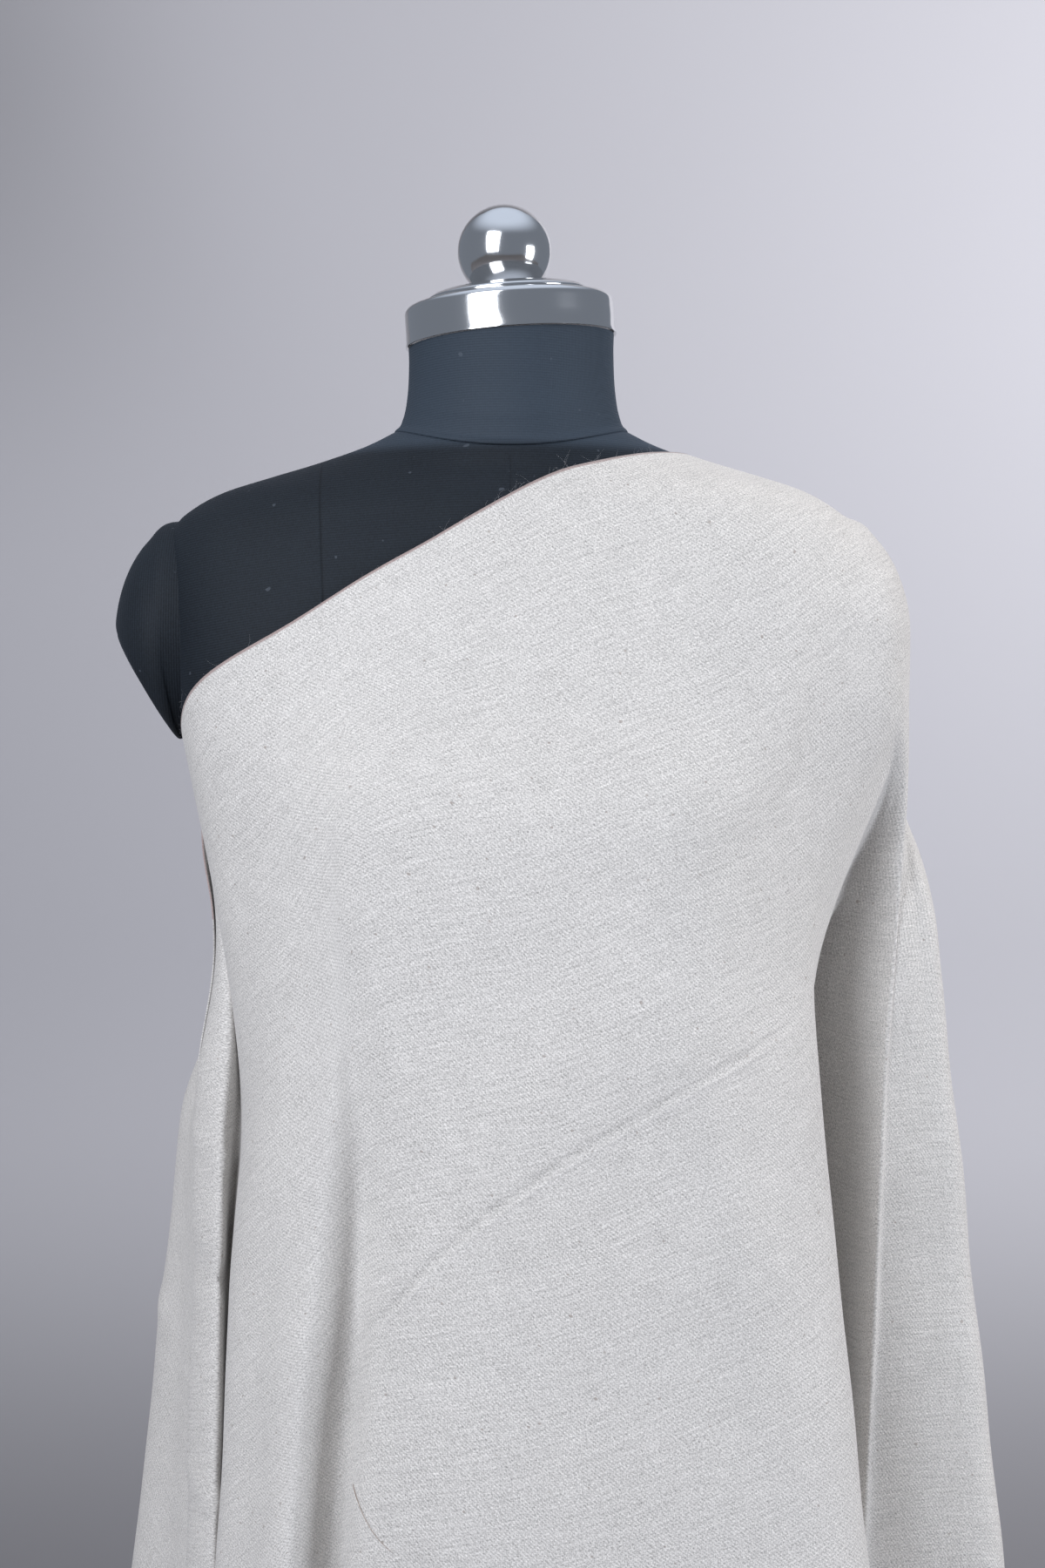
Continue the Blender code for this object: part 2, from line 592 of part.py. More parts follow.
class Drape:
    """The stole's inner surface, as a function of the place along it and the way down it."""

    def __init__(self, form):
        edge = columns_of(EDGE_POINTS, EDGE_COLUMNS)
        folds = columns_of(tuple(FOLDS.values()), FOLD_COLUMNS)
        self.edge = edge
        self.rows = np.arange(len(FOLDS))
        self.folds = folds
        self.folds["mid_direction"] = np.sort(self.wound(folds["mid_x"], folds["mid_y"]))
        self.form = form
        circle = np.degrees(form.directions)
        twice = np.stack([self.height_at(circle), self.height_at(circle + 360)])
        self.field = form.taut(twice.max(axis=0))

    def height_at(self, direction):
        """Height of the upper edge at these directions, and nothing outside the stole's two ends."""
        places = self.edge["direction"]
        height = through(places, self.edge["height"], direction)
        outside = (direction < places[0]) | (direction > places[-1])
        return np.where(outside, -np.inf, height)

    def wound(self, x, y):
        """Directions of these points, each taken on the turn that is nearest to its fold's own. They
        are used in rising order, so that cloth on the form never doubles back."""
        plain = np.degrees(np.arctan2(y, x))
        return plain + 360 * np.round((self.folds["direction"] - plain) / 360)

    def at(self, name, place):
        return through(self.rows, self.folds[name], place)

    def paths(self, place):
        """For each place along the stole, the fall line from the upper edge down: many close points."""
        place = np.asarray(place, float)[:, None]
        direction = self.at("direction", place)
        top = through(self.edge["direction"], self.edge["height"], direction)
        drop = np.concatenate([np.arange(0.0, 0.10, 0.001), np.arange(0.10, 0.90, 0.005)])
        height = top - drop[None, :]
        turning = eased(0.0, 1.0, (top - height) / np.maximum(top - TURN_LEVEL, 0.03))
        heading = np.radians(direction + turning * (self.at("mid_direction", place) - direction))
        radius = read_field(
            self.field, Form.HEIGHTS, self.form.directions, np.maximum(height, 0.56), heading
        )
        radius = radius + self.at("lift", place)
        taut_x = radius * np.cos(heading)
        taut_y = radius * np.sin(heading)
        down = (MID_LEVEL - height) / (MID_LEVEL - LOW_LEVEL)
        down = np.minimum(down, 1.0) + 1.0 - np.exp(-np.maximum(down - 1.0, 0.0))
        hung_x = self.at("mid_x", place) + down * (self.at("low_x", place) - self.at("mid_x", place))
        hung_y = self.at("mid_y", place) + down * (self.at("low_y", place) - self.at("mid_y", place))
        start = self.at("start", place)
        free = eased(0.0, 1.0, (start - height) / self.at("settling", place))
        x = taut_x + free * (hung_x - taut_x)
        y = taut_y + free * (hung_y - taut_y)
        return np.stack([x, y, height], axis=2), through(
            self.edge["direction"], self.edge["fall"], direction[:, 0]
        )

    def surface(self, place, shares):
        """Points at these shares of the way down each fall line, seated clear of the form."""
        lines, fall = self.paths(place)
        grid = np.empty((len(shares), len(place), 3))
        for column, line in enumerate(lines):
            steps = np.linalg.norm(np.diff(line, axis=0), axis=1)
            run = np.concatenate([[0.0], np.cumsum(steps)])
            for axis in range(3):
                grid[:, column, axis] = np.interp(shares * fall[column], run, line[:, axis])
        return self.form.seated(grid, CLOTH_GAP)


def unit(vectors):
    return vectors / np.linalg.norm(vectors, axis=2, keepdims=True)


def normals_of(grid):
    """Unit normals of a grid of points, pointing away from the form. They are evened out along the
    cloth, so that the wall doesn't cross itself in the tight bottom of a fold."""
    normal = unit(np.cross(np.gradient(grid, axis=0), np.gradient(grid, axis=1)))
    for _ in range(5):
        before = np.roll(normal, 1, axis=1)
        after = np.roll(normal, -1, axis=1)
        normal[:, 1:-1] = unit(before + 2.0 * normal + after)[:, 1:-1]
    return normal


def wall(name, inner, outer):
    """A closed wall between two grids of the same size, with the same diagonals on both faces."""
    rows, columns = inner.shape[:2]
    count = rows * columns
    points = np.vstack([inner.reshape(-1, 3), outer.reshape(-1, 3)])
    faces = []
    for row in range(rows - 1):
        for column in range(columns - 1):
            a = row * columns + column
            b = a + 1
            c = b + columns
            d = a + columns
            faces += [(a, b, c), (a, c, d)]
            faces += [(c + count, b + count, a + count), (d + count, c + count, a + count)]
    for row in range(rows - 1):
        for column, turned_round in ((0, False), (columns - 1, True)):
            a = row * columns + column
            b = a + columns
            rim = (a, b, b + count, a + count)
            faces.append(rim[::-1] if turned_round else rim)
    for column in range(columns - 1):
        for row, turned_round in ((0, True), (rows - 1, False)):
            a = row * columns + column
            b = a + 1
            rim = (a, b, b + count, a + count)
            faces.append(rim[::-1] if turned_round else rim)
    return solid(name, points, faces, "wool", sharp=math.radians(50))


def make_stole(form):
    """The three stretches, cut from one surface and parted by a seam's gap."""
    drape = Drape(form)
    names = list(FOLDS)
    places = np.linspace(0, len(names) - 1, (len(names) - 1) * COLUMNS_PER_FOLD + 1)
    shares = np.linspace(0.0, 1.0, CLOTH_ROWS + 1) ** ROW_CROWDING
    grid = drape.surface(places, shares)
    normal = normals_of(grid)
    along = unit(np.gradient(grid, axis=1))
    first_seam = names.index(FRONT_ENDS_AT) * COLUMNS_PER_FOLD
    second_seam = names.index(ARM_ENDS_AT) * COLUMNS_PER_FOLD
    stretches = (
        ("stole_front", 0, first_seam),
        ("stole_arm", first_seam, second_seam),
        ("stole_back", second_seam, len(places) - 1),
    )
    for name, start, end in stretches:
        inner = grid[:, start : end + 1].copy()
        if start > 0:
            inner[:, 0] += along[:, start] * SEAM_GAP / 2
        if end < len(places) - 1:
            inner[:, -1] -= along[:, end] * SEAM_GAP / 2
        outer = inner + normal[:, start : end + 1] * CLOTH_WALL
        wall(name, inner, outer)


def main():
    clear_scene()
    torso = make_torso()
    cutter = make_torso_cutter()
    neck = make_neck()
    right = make_arm_cap("arm_cap_right", -1, cutter)
    left = make_arm_cap("arm_cap_left", 1, cutter)
    make_cap()
    make_stand()
    make_stole(Form([torso, neck, left], [right]))


main()
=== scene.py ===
"""A wool stole wound over one shoulder of a limbless dress form on a round stand.

The file is laid out as an add-on and run as a script. Metres, +Z up, the form's front faces -Y.
Directions round the form are degrees about the vertical: 180 is the bare side, 270 the front, 360
the covered arm and 450 the back; they run on past 360 where the stole overlaps itself. On the
cloth, u runs along its length and v across its width, down from the upper edge.
"""

import math

import bpy
import numpy as np
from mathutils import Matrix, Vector
from mathutils.bvhtree import BVHTree
from mathutils.geometry import convex_hull_2d


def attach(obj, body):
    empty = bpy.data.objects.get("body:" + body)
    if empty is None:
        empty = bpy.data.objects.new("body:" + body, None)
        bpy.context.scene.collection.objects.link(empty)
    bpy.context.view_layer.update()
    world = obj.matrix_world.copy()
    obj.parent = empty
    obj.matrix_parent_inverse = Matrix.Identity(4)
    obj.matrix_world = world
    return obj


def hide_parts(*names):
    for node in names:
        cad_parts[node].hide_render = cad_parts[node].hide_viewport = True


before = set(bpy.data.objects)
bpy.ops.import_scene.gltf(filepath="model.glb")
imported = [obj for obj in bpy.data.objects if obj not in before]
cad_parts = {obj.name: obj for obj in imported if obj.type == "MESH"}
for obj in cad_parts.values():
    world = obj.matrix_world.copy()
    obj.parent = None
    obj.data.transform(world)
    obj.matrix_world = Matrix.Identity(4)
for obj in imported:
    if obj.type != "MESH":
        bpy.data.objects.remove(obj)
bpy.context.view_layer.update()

bl_info = {
    "name": "Wool stole on a dress form",
    "version": (1, 0, 0),
    "blender": (4, 5, 0),
    "location": "3D View > Sidebar > Stole",
    "description": "Builds a draped wool stole, its dress form and a plain studio",
    "category": "Add Mesh",
}

TAU = 2.0 * math.pi

# ---------- sizes of the form
NECK_RADIUS = 0.0545
NECK_TOP = 1.4685
CAP_HEIGHT = 0.0215
DISC_HEIGHT = 0.0052
BALL_RADIUS = 0.025
BALL_SUNK = 0.0043
CAP_TILT = math.radians(4.2)
TORSO_FLOOR = 0.68
PLATE_HEIGHT = 0.008
BASE_TOP = 0.042
BASE_RADIUS = 0.19
POST_RADIUS = 0.016
METAL_GAP = 0.0003

TORSO_COLUMNS = ("z", "half_width", "front", "back", "dip", "rise", "squareness")
TORSO_RINGS = (
    (0.68, 0.14, 0.101, 0.11, 0.0, 0.0, 2.1),
    (0.74, 0.15, 0.109, 0.121, 0.0, 0.0, 2.1),
    (0.81, 0.153, 0.112, 0.124, 0.0, 0.0, 2.1),
    (0.87, 0.147, 0.107, 0.114, 0.0, 0.0, 2.1),
    (0.94, 0.132, 0.096, 0.094, 0.0, 0.0, 2.2),
    (1.01, 0.122, 0.085, 0.078, 0.0, 0.0, 2.2),
    (1.075, 0.134, 0.092, 0.081, 0.0, 0.0, 2.3),
    (1.135, 0.1475, 0.105, 0.087, 0.0, 0.0, 2.4),
    (1.175, 0.155, 0.111, 0.09, 0.0, 0.0, 2.5),
    (1.205, 0.161, 0.112, 0.093, 0.0, 0.0, 2.6),
    (1.235, 0.167, 0.109, 0.096, 0.0, 0.0, 2.8),
    (1.265, 0.1725, 0.102, 0.098, 0.0, 0.0, 3.2),
    (1.295, 0.1755, 0.095, 0.097, 0.0, 0.0, 3.5),
    (1.325, 0.1785, 0.088, 0.093, 0.0, 0.0, 3.6),
    (1.35, 0.1795, 0.081, 0.086, 0.0, 0.0, 3.4),
    (1.368, 0.178, 0.075, 0.078, 0.0006, 0.0, 3.0),
    (1.378, 0.169, 0.072, 0.073, 0.0016, 0.0, 2.7),
    (1.387, 0.153, 0.068, 0.069, 0.003, 0.0004, 2.5),
    (1.395, 0.129, 0.065, 0.065, 0.005, 0.0008, 2.3),
    (1.403, 0.103, 0.062, 0.061, 0.0075, 0.0014, 2.2),
    (1.412, 0.078, 0.06, 0.058, 0.0105, 0.0024, 2.1),
    (1.4205, 0.061, 0.0575, 0.055, 0.0125, 0.004, 2.0),
)
BUST = {"half_span": 0.082, "height": 1.205, "depth": 0.014, "spread": 0.036}

# The neck above its seam; the drop below the seam makes the turned hem.
NECK_COLUMNS = ("share", "flare", "drop")
NECK_RINGS = (
    (0.000, 0.005, 0.0006),
    (0.000, 0.007, 0.0009),
    (0.006, 0.0076, 0.0004),
    (0.02, 0.0068, 0.0),
    (0.05, 0.0052, 0.0),
    (0.1, 0.004, 0.0),
    (0.25, 0.002, 0.0),
    (0.5, 0.0005, 0.0),
    (0.8, 0.0, 0.0),
    (1.000, 0.0002, 0.0),
)

ARM_COLUMNS = ("top_x", "top_z", "bottom_x", "bottom_z", "half_depth")
ARM_OVALS = (
    (0.15, 1.37, 0.15, 1.264, 0.05),
    (0.18, 1.3725, 0.174, 1.259, 0.052),
    (0.1925, 1.3625, 0.1755, 1.2575, 0.052),
    (0.201, 1.3505, 0.1765, 1.257, 0.0505),
    (0.2068, 1.336, 0.1775, 1.2575, 0.047),
    (0.2098, 1.321, 0.1785, 1.2595, 0.042),
    (0.2092, 1.3135, 0.1795, 1.263, 0.037),
)

# ---------- the stole's tables
STOLE_WIDTH = 0.7
EDGE_COLUMNS = ("direction", "height", "fall")
EDGE_POINTS = (
    (150.0, 1.232, 0.76),
    (168.0, 1.24, 0.78),
    (179.0, 1.245, 0.8),
    (187.0, 1.253, 0.8),
    (194.0, 1.2665, 0.8),
    (201.0, 1.2805, 0.8),
    (216.0, 1.3095, 0.8),
    (228.0, 1.336, 0.8),
    (245.0, 1.359, 0.8),
    (271.0, 1.3815, 0.795),
    (290.0, 1.3925, 0.785),
    (309.0, 1.399, 0.765),
    (336.0, 1.4055, 0.72),
    (355.0, 1.407, 0.705),
    (373.0, 1.4075, 0.705),
    (395.0, 1.403, 0.72),
    (420.0, 1.393, 0.75),
    (450.0, 1.373, 0.77),
    (479.0, 1.34, 0.78),
    (498.0, 1.305, 0.78),
    (513.0, 1.268, 0.78),
    (528.0, 1.226, 0.77),
    (538.0, 1.197, 0.76),
    (547.0, 1.163, 0.74),
)

MID_LEVEL = 1.05
LOW_LEVEL = 0.82
FOLD_COLUMNS = ("direction", "mid_x", "mid_y", "low_x", "low_y", "start", "settling", "lift")
FOLDS = {
    "hidden_start": (150.0, -0.132, 0.078, -0.14, 0.086, 1.18, 0.11, 0.0),
    "under_side": (166.0, -0.151, 0.04, -0.156, 0.045, 1.18, 0.11, 0.0),
    "tube_back": (177.0, -0.159, 0.000, -0.16, 0.000, 1.19, 0.11, 0.0),
    "tube_side": (183.0, -0.1645, -0.035, -0.169, -0.035, 1.195, 0.13, 0.0),
    "tube_front": (189.0, -0.149, -0.058, -0.153, -0.06, 1.185, 0.14, 0.0),
    "slit_outer": (192.5, -0.1465, -0.039, -0.151, -0.035, 1.15, 0.16, 0.0),
    "slit_inner": (196.0, -0.1425, -0.04, -0.147, -0.038, 1.15, 0.16, 0.0),
    "panel_ridge": (200.0, -0.137, -0.078, -0.1485, -0.082, 1.15, 0.18, 0.0),
    "bust_right": (212.0, -0.117, -0.106, -0.131, -0.108, 1.19, 0.16, 0.0),
    "valley_ridge": (226.0, -0.0935, -0.122, -0.112, -0.131, 1.19, 0.26, 0.0),
    "soft_valley": (240.0, -0.07, -0.1035, -0.092, -0.096, 1.19, 0.26, 0.0),
    "front_swell": (256.0, -0.046, -0.124, -0.066, -0.131, 1.17, 0.24, 0.0),
    "front_middle": (274.0, 0.024, -0.128, 0.026, -0.133, 1.18, 0.11, 0.0),
    "bust_left": (292.0, 0.072, -0.128, 0.082, -0.134, 1.2, 0.11, 0.0),
    "panel_turn": (305.0, 0.117, -0.1135, 0.138, -0.1225, 1.27, 0.2, 0.0),
    "panel_edge": (316.0, 0.1575, -0.078, 0.181, -0.094, 1.285, 0.2, 0.0),
    "pleat_wall": (325.0, 0.155, -0.04, 0.167, -0.043, 1.285, 0.2, 0.0),
    "pleat": (333.0, 0.1565, 0.031, 0.1625, 0.043, 1.285, 0.19, 0.0),
    "arm_wall": (340.0, 0.178, 0.022, 0.1755, 0.032, 1.285, 0.18, 0.0),
    "arm_ridge": (348.0, 0.1945, -0.01, 0.1845, -0.01, 1.27, 0.2, 0.0),
    "behind_ridge": (356.0, 0.2, -0.007, 0.193, -0.007, 1.27, 0.16, 0.0),
    "band": (364.0, 0.22, 0.001, 0.229, 0.000, 1.27, 0.13, 0.0),
    "band_edge": (374.0, 0.239, 0.014, 0.2635, 0.015, 1.285, 0.13, 0.0),
    "band_back": (386.0, 0.234, 0.072, 0.255, 0.084, 1.28, 0.11, 0.0),
    "back_valley_a": (400.0, 0.19, 0.116, 0.202, 0.128, 1.3, 0.22, 0.0),
    "back_ridge_a": (414.0, 0.148, 0.138, 0.162, 0.166, 1.27, 0.24, 0.0),
    "back_valley_b": (430.0, 0.098, 0.122, 0.104, 0.138, 1.23, 0.24, 0.0),
    "back_ridge_b": (446.0, 0.044, 0.136, 0.05, 0.162, 1.27, 0.26, 0.0),
    "back_valley_c": (462.0, -0.01, 0.121, -0.01, 0.14, 1.22, 0.24, 0.0),
    "back_ridge_c": (479.0, -0.064, 0.132, -0.076, 0.16, 1.25, 0.26, 0.0),
    "back_valley_d": (496.0, -0.114, 0.112, -0.128, 0.132, 1.21, 0.22, 0.0015),
    "back_ridge_d": (511.0, -0.156, 0.096, -0.182, 0.118, 1.2, 0.2, 0.0036),
    "outer_side": (526.0, -0.181, 0.054, -0.208, 0.064, 1.18, 0.13, 0.0042),
    "outer_turn": (538.0, -0.173, 0.02, -0.184, 0.022, 1.17, 0.13, 0.0042),
    "hidden_end": (547.0, -0.166, -0.006, -0.168, -0.004, 1.19, 0.11, 0.0024),
}
CLING_SLOPE = 0.25
CLING_WIDTH = 28.0
TURN_LEVEL = 1.15

# Soft low ridges laid over the folds: the fold row and the share of the width where each
# starts and ends, its half width and its height, which is negative for a trough.
SOFT_RIDGES = (
    (11.42, 0.58, 11.55, 1.00, 0.012, 0.0026),
    (12.5, 0.3, 14.0, 0.55, 0.02, 0.0016),
    (13.2, 0.55, 14.4, 0.85, 0.018, -0.0015),
    (4.4, 0.28, 2.6, 0.24, 0.007, 0.0014),
    (4.6, 0.36, 2.7, 0.33, 0.008, -0.0016),
    (4.4, 0.5, 2.8, 0.46, 0.008, 0.0015),
    (4.2, 0.64, 2.8, 0.62, 0.009, -0.0014),
    (4.2, 0.8, 2.8, 0.79, 0.009, 0.0014),
    (16.2, 0.34, 17.2, 0.3, 0.007, -0.0014),
    (16.2, 0.46, 17.3, 0.43, 0.008, 0.0016),
    (16.2, 0.6, 17.2, 0.59, 0.008, -0.0016),
    (18.6, 0.4, 17.2, 0.44, 0.01, 0.0014),
    (21.0, 0.3, 21.6, 0.62, 0.012, 0.0014),
    (25.4, 0.2, 26.4, 0.7, 0.02, 0.0018),
    (27.5, 0.35, 28.3, 0.85, 0.02, -0.0016),
    (29.6, 0.25, 30.2, 0.7, 0.018, 0.0018),
    (31.0, 0.4, 32.6, 0.36, 0.01, 0.0012),
    (31.2, 0.62, 32.8, 0.6, 0.01, -0.0012),
)

# The line pressed into the cloth where it was folded up, as fold row and share of the width.
PRESSED_LINE = (
    (10.35, 0.52),
    (10.8, 0.51),
    (11.25, 0.481),
    (11.7, 0.452),
    (12.1, 0.439),
    (12.9, 0.43),
    (13.7, 0.424),
    (14.8, 0.42),
)

# The cloth's grid: fold rows of its columns, shares of the width of its rows, and the fold row on
# the chest from which lengths along the cloth count. There the cloth slants by this much.
PLACES = np.concatenate(
    [np.linspace(0, 3, 24, False), np.linspace(3, 22, 212, False), np.linspace(22, 34, 92)]
)
SHARES = np.linspace(0.0, 1.0, 150) ** 1.25
CHEST_ROW = 12.0
CHEST_SLANT = 0.49

# Loose hairs: how many, the grid rows and columns they grow from, and their shortest and longest.
HAIRS = (
    (16, (0, 1), (116, 150), (0.003, 0.009)),
    (60, (0, 1), (30, 325), (0.0015, 0.005)),
    (1500, (0, 149), (2, 326), (0.001, 0.0022)),
)
HAIR_RADIUS = 0.000024
THREAD_RADIUS = 0.00019

# Heights and directions at which the form's skin and the taut cloth are measured.
LEVELS = np.concatenate([np.arange(1.424, 1.25, -0.001), np.arange(1.25, 0.55, -0.005)])
LOWEST = 0.56
CIRCLE = np.arange(0.0, 360.0, 1.5)

# ---------- sizes of the studio
FLOOR_START = -5.0
BEND_START = 1.6
BEND_RADIUS = 1.0
WALL_HEIGHT = 5.0
FLOOR_HALF = 5.0
WALL_HALF = 1.6
CAMERA_SPOT = (0.006, -1.54, 1.233)


# ---------- settings
def length(name, description, default, **limits):
    return bpy.props.FloatProperty(
        name=name, description=description, default=default, unit="LENGTH", precision=5, **limits
    )


def colour(name, description, default):
    return bpy.props.FloatVectorProperty(
        name=name, description=description, default=default, subtype="COLOR", size=3, min=0, max=1
    )


class ClothSettings(bpy.types.PropertyGroup):
    thickness: length("Thickness", "Thickness of the woven cloth", 0.0008, min=0.0003, max=0.002)
    gap: length("Gap", "Room between the cloth and the form", 0.001, min=0.0004, max=0.003)
    twill_pitch: length("Twill pitch", "Distance between two twill lines", 0.0016, min=0.0005)
    wool: colour("Wool", "Colour of the undyed wool", (0.622, 0.606, 0.584))
    edge: colour("Edge thread", "Colour of the thread along the selvedge", (0.3, 0.2, 0.19))


class FormSettings(bpy.types.PropertyGroup):
    jersey: colour("Jersey", "Colour of the form's knitted cover", (0.0205, 0.0282, 0.0385))
    rib_pitch: length("Rib pitch", "Distance between two ribs of the jersey", 0.0013, min=0.0005)
    metal: colour("Metal", "Colour of the polished cap and ball", (0.63, 0.66, 0.71))
    steel: colour("Stand", "Colour of the painted base", (0.03, 0.03, 0.032))


class StageSettings(bpy.types.PropertyGroup):
    backdrop: colour("Backdrop", "Colour of the floor and backdrop", (0.475, 0.485, 0.53))
    key: bpy.props.FloatProperty(
        name="Key light", description="Power of the large light on the left", default=45.0
    )
    fill: bpy.props.FloatProperty(
        name="Fill light", description="Power of the light on the right", default=21.5
    )
    lens: bpy.props.FloatProperty(
        name="Lens", description="Focal length for a 36 mm high picture", default=66.3
    )


class DressedForm(bpy.types.PropertyGroup):
    cloth: bpy.props.PointerProperty(type=ClothSettings, name="Cloth", description="The stole")
    form: bpy.props.PointerProperty(type=FormSettings, name="Form", description="The dress form")
    stage: bpy.props.PointerProperty(type=StageSettings, name="Stage", description="The studio")


# ---------- shader tools
def arithmetic(operation, reflected=False):
    """A method of Value that adds one Math node; reflected, the other term comes first."""

    def method(self, *others):
        terms = (*others, self) if reflected else (self, *others)
        return self.look.node("ShaderNodeMath", {"operation": operation}, dict(enumerate(terms)))

    return method


class Value:
    """A socket that plain arithmetic works on: every expression adds its Math nodes."""

    def __init__(self, look, socket):
        self.look = look
        self.socket = socket

    __add__ = arithmetic("ADD")
    __radd__ = arithmetic("ADD", reflected=True)
    __sub__ = arithmetic("SUBTRACT")
    __rsub__ = arithmetic("SUBTRACT", reflected=True)
    __mul__ = arithmetic("MULTIPLY")
    __rmul__ = arithmetic("MULTIPLY", reflected=True)
    __truediv__ = arithmetic("DIVIDE")
    __rtruediv__ = arithmetic("DIVIDE", reflected=True)
    __abs__ = arithmetic("ABSOLUTE")
    sine = arithmetic("SINE")

    def other(self, name):
        """Another output of the same node."""
        return Value(self.look, self.socket.node.outputs[name])

    def between(self, low, high, start=0.0, end=1.0):
        """From start at low to end at high, with a smooth step between them."""
        return self.look.node(
            "ShaderNodeMapRange",
            {"interpolation_type": "SMOOTHSTEP"},
            {"Value": self, "From Min": low, "From Max": high, "To Min": start, "To Max": end},
        )

    def bell(self, half_width):
        """1 where the value is 0, falling off smoothly on both sides."""
        scaled = self * (1.0 / half_width)
        rise = scaled * scaled + 1.0
        return 1.0 / (rise * rise)


class Nodes:
    """A node tree that ends in one shader and is built from expressions on its sockets."""

    def __init__(self, tree, shader):
        self.tree = tree
        self.shader = tree.nodes[shader]

    def put(self, made, socket, value):
        """A number or colour, or the link to a Value, into a node's socket."""
        if isinstance(value, Value):
            self.tree.links.new(value.socket, made.inputs[socket])
        else:
            made.inputs[socket].default_value = value

    def set(self, socket, value):
        self.put(self.shader, socket, value)

    def node(self, kind, settings, sockets, output=0):
        """Any node: its settings are put in first, then the values or links of its sockets."""
        made = self.tree.nodes.new(kind)
        for key, value in settings.items():
            setattr(made, key, value)
        for key, value in sockets.items():
            self.put(made, key, value)
        return Value(self, made.outputs[output])

    def place(self, kind="Object"):
        """The object's own coordinates, or another kind."""
        return self.node("ShaderNodeTexCoord", {}, {}, kind)

    def axes(self, vector):
        first = self.node("ShaderNodeSeparateXYZ", {}, {0: vector})
        return first, first.other("Y"), first.other("Z")

    def mixed(self, first, second, factor):
        """From the first colour to the second."""
        return self.node(
            "ShaderNodeMix", {"data_type": "RGBA"}, {0: factor, 6: first, 7: second}, 2
        )


class Look(Nodes):
    """A material with one Principled shader."""

    def __init__(self, name, base, roughness, **fixed):
        self.material = bpy.data.materials.new(name)
        self.material.use_nodes = True
        super().__init__(self.material.node_tree, "Principled BSDF")
        self.base = (*base, 1.0)
        self.material.diffuse_color = self.base
        self.set("Base Color", self.base)
        self.set("Roughness", roughness)
        for socket, value in fixed.items():
            self.set(socket.replace("_", " "), value)

    def noise(self, vector, scale, detail=2.0):
        """Soft noise round 0, from about -0.5 to 0.5, with this many lumps a metre, on all axes or
        on each."""
        scale = scale if isinstance(scale, tuple) else (scale,) * 3
        moved = self.node("ShaderNodeMapping", {}, {"Vector": vector, "Scale": scale})
        sockets = {"Vector": moved, "Scale": 1.0, "Detail": detail}
        return self.node("ShaderNodeTexNoise", {}, sockets) - 0.5

    def shaded(self, tint, factor):
        """A colour made lighter or darker by a number."""
        first = tint if isinstance(tint, Value) else tint[:3]
        return self.node(
            "ShaderNodeVectorMath", {"operation": "SCALE"}, {0: first, "Scale": factor}
        )

    def bumped(self, height, strength=1.0):
        """The shader's normal from a height in metres."""
        normal = self.node(
            "ShaderNodeBump", {}, {"Strength": strength, "Distance": 1.0, "Height": height}
        )
        self.set("Normal", normal)


# ---------- materials
def wool_look(name, cloth):
    """Undyed wool twill: fine slanted lines, thick and thin yarns along the cloth, a darker thread
    at both selvedges, and one pressed line with a painted highlight and a painted shadow beside it."""
    fixed = {"Sheen_Weight": 0.22, "Sheen_Roughness": 0.55, "Specular_IOR_Level": 0.25}
    look = Look(name, cloth.wool, 0.92, **fixed)
    plane = look.node("ShaderNodeUVMap", {"uv_map": "cloth"}, {})
    u, v, _ = look.axes(plane)
    lean = math.radians(26.0)
    drift = look.noise(plane, 30.0) * 0.0016
    over = u * math.cos(lean) - v * math.sin(lean) + drift
    along = u * math.sin(lean) + v * math.cos(lean)
    twill = (over * (TAU / cloth.twill_pitch)).sine()
    stitch = (along * (TAU / 0.0013)).sine()
    yarn = look.noise(plane, (17.0, 560.0, 1.0), 3.0)
    weft = look.noise(plane, (60.0, 900.0, 1.0), 1.0)
    warp = look.noise(plane, (860.0, 55.0, 1.0), 1.0)
    slub = look.noise(plane, (50.0, 420.0, 1.0), 1.0).between(0.17, 0.3)
    cloud = look.noise(plane, (11.0, 16.0, 1.0), 3.0)
    grain = look.noise(plane, (1500.0, 1250.0, 1.0), 1.0)
    fibre = look.noise(plane, (760.0, 820.0, 1.0), 2.0)
    strength = look.noise(plane, 24.0, 1.0) + 0.85
    tone = (
        1.0
        + twill * (1.0 + stitch * 0.9) * strength * 0.09
        + weft * 0.34
        + warp * 0.26
        + yarn * 0.23
        + cloud * 0.08
        + grain * 1.3
        + fibre * 0.85
        - slub * 0.05
    )
    far = look.node("ShaderNodeAttribute", {"attribute_name": "pressed"}, {}, "Fac")
    fade = look.node("ShaderNodeAttribute", {"attribute_name": "pressed_share"}, {}, "Fac")
    fade = fade * (1.0 + look.noise(plane, 30.0, 1.0) * 1.6)
    ridge_and_highlight = far.bell(0.0021) * fade
    shadow = (far + 0.004).bell(0.0024) * fade
    # Painted highlight and painted shadow: the cloth's colour is lighter along the pressed line and
    # darker in a band beside it; both also shape the bump.
    tone = tone + ridge_and_highlight * 0.05 - shadow * 0.095
    speck = look.noise(plane, 330.0, 0.0).between(0.32, 0.35)
    half = STOLE_WIDTH / 2
    rim = abs(v - half).between(half - 0.0019, half - 0.0009)
    tint = look.shaded(look.base, tone)
    tint = look.mixed(tint, (0.25, 0.2, 0.17, 1.0), speck * 0.55)
    tint = look.mixed(tint, (*cloth.edge, 1.0), rim * 0.75)
    look.set("Base Color", tint)
    height = (
        twill * strength * 0.00004
        + stitch * 0.000016
        + yarn * 0.00012
        + fibre * 0.0001
        + grain * 0.00004
        + ridge_and_highlight * 0.0006
        - shadow * 0.00035
    )
    look.bumped(height, 0.8)
    return look.material


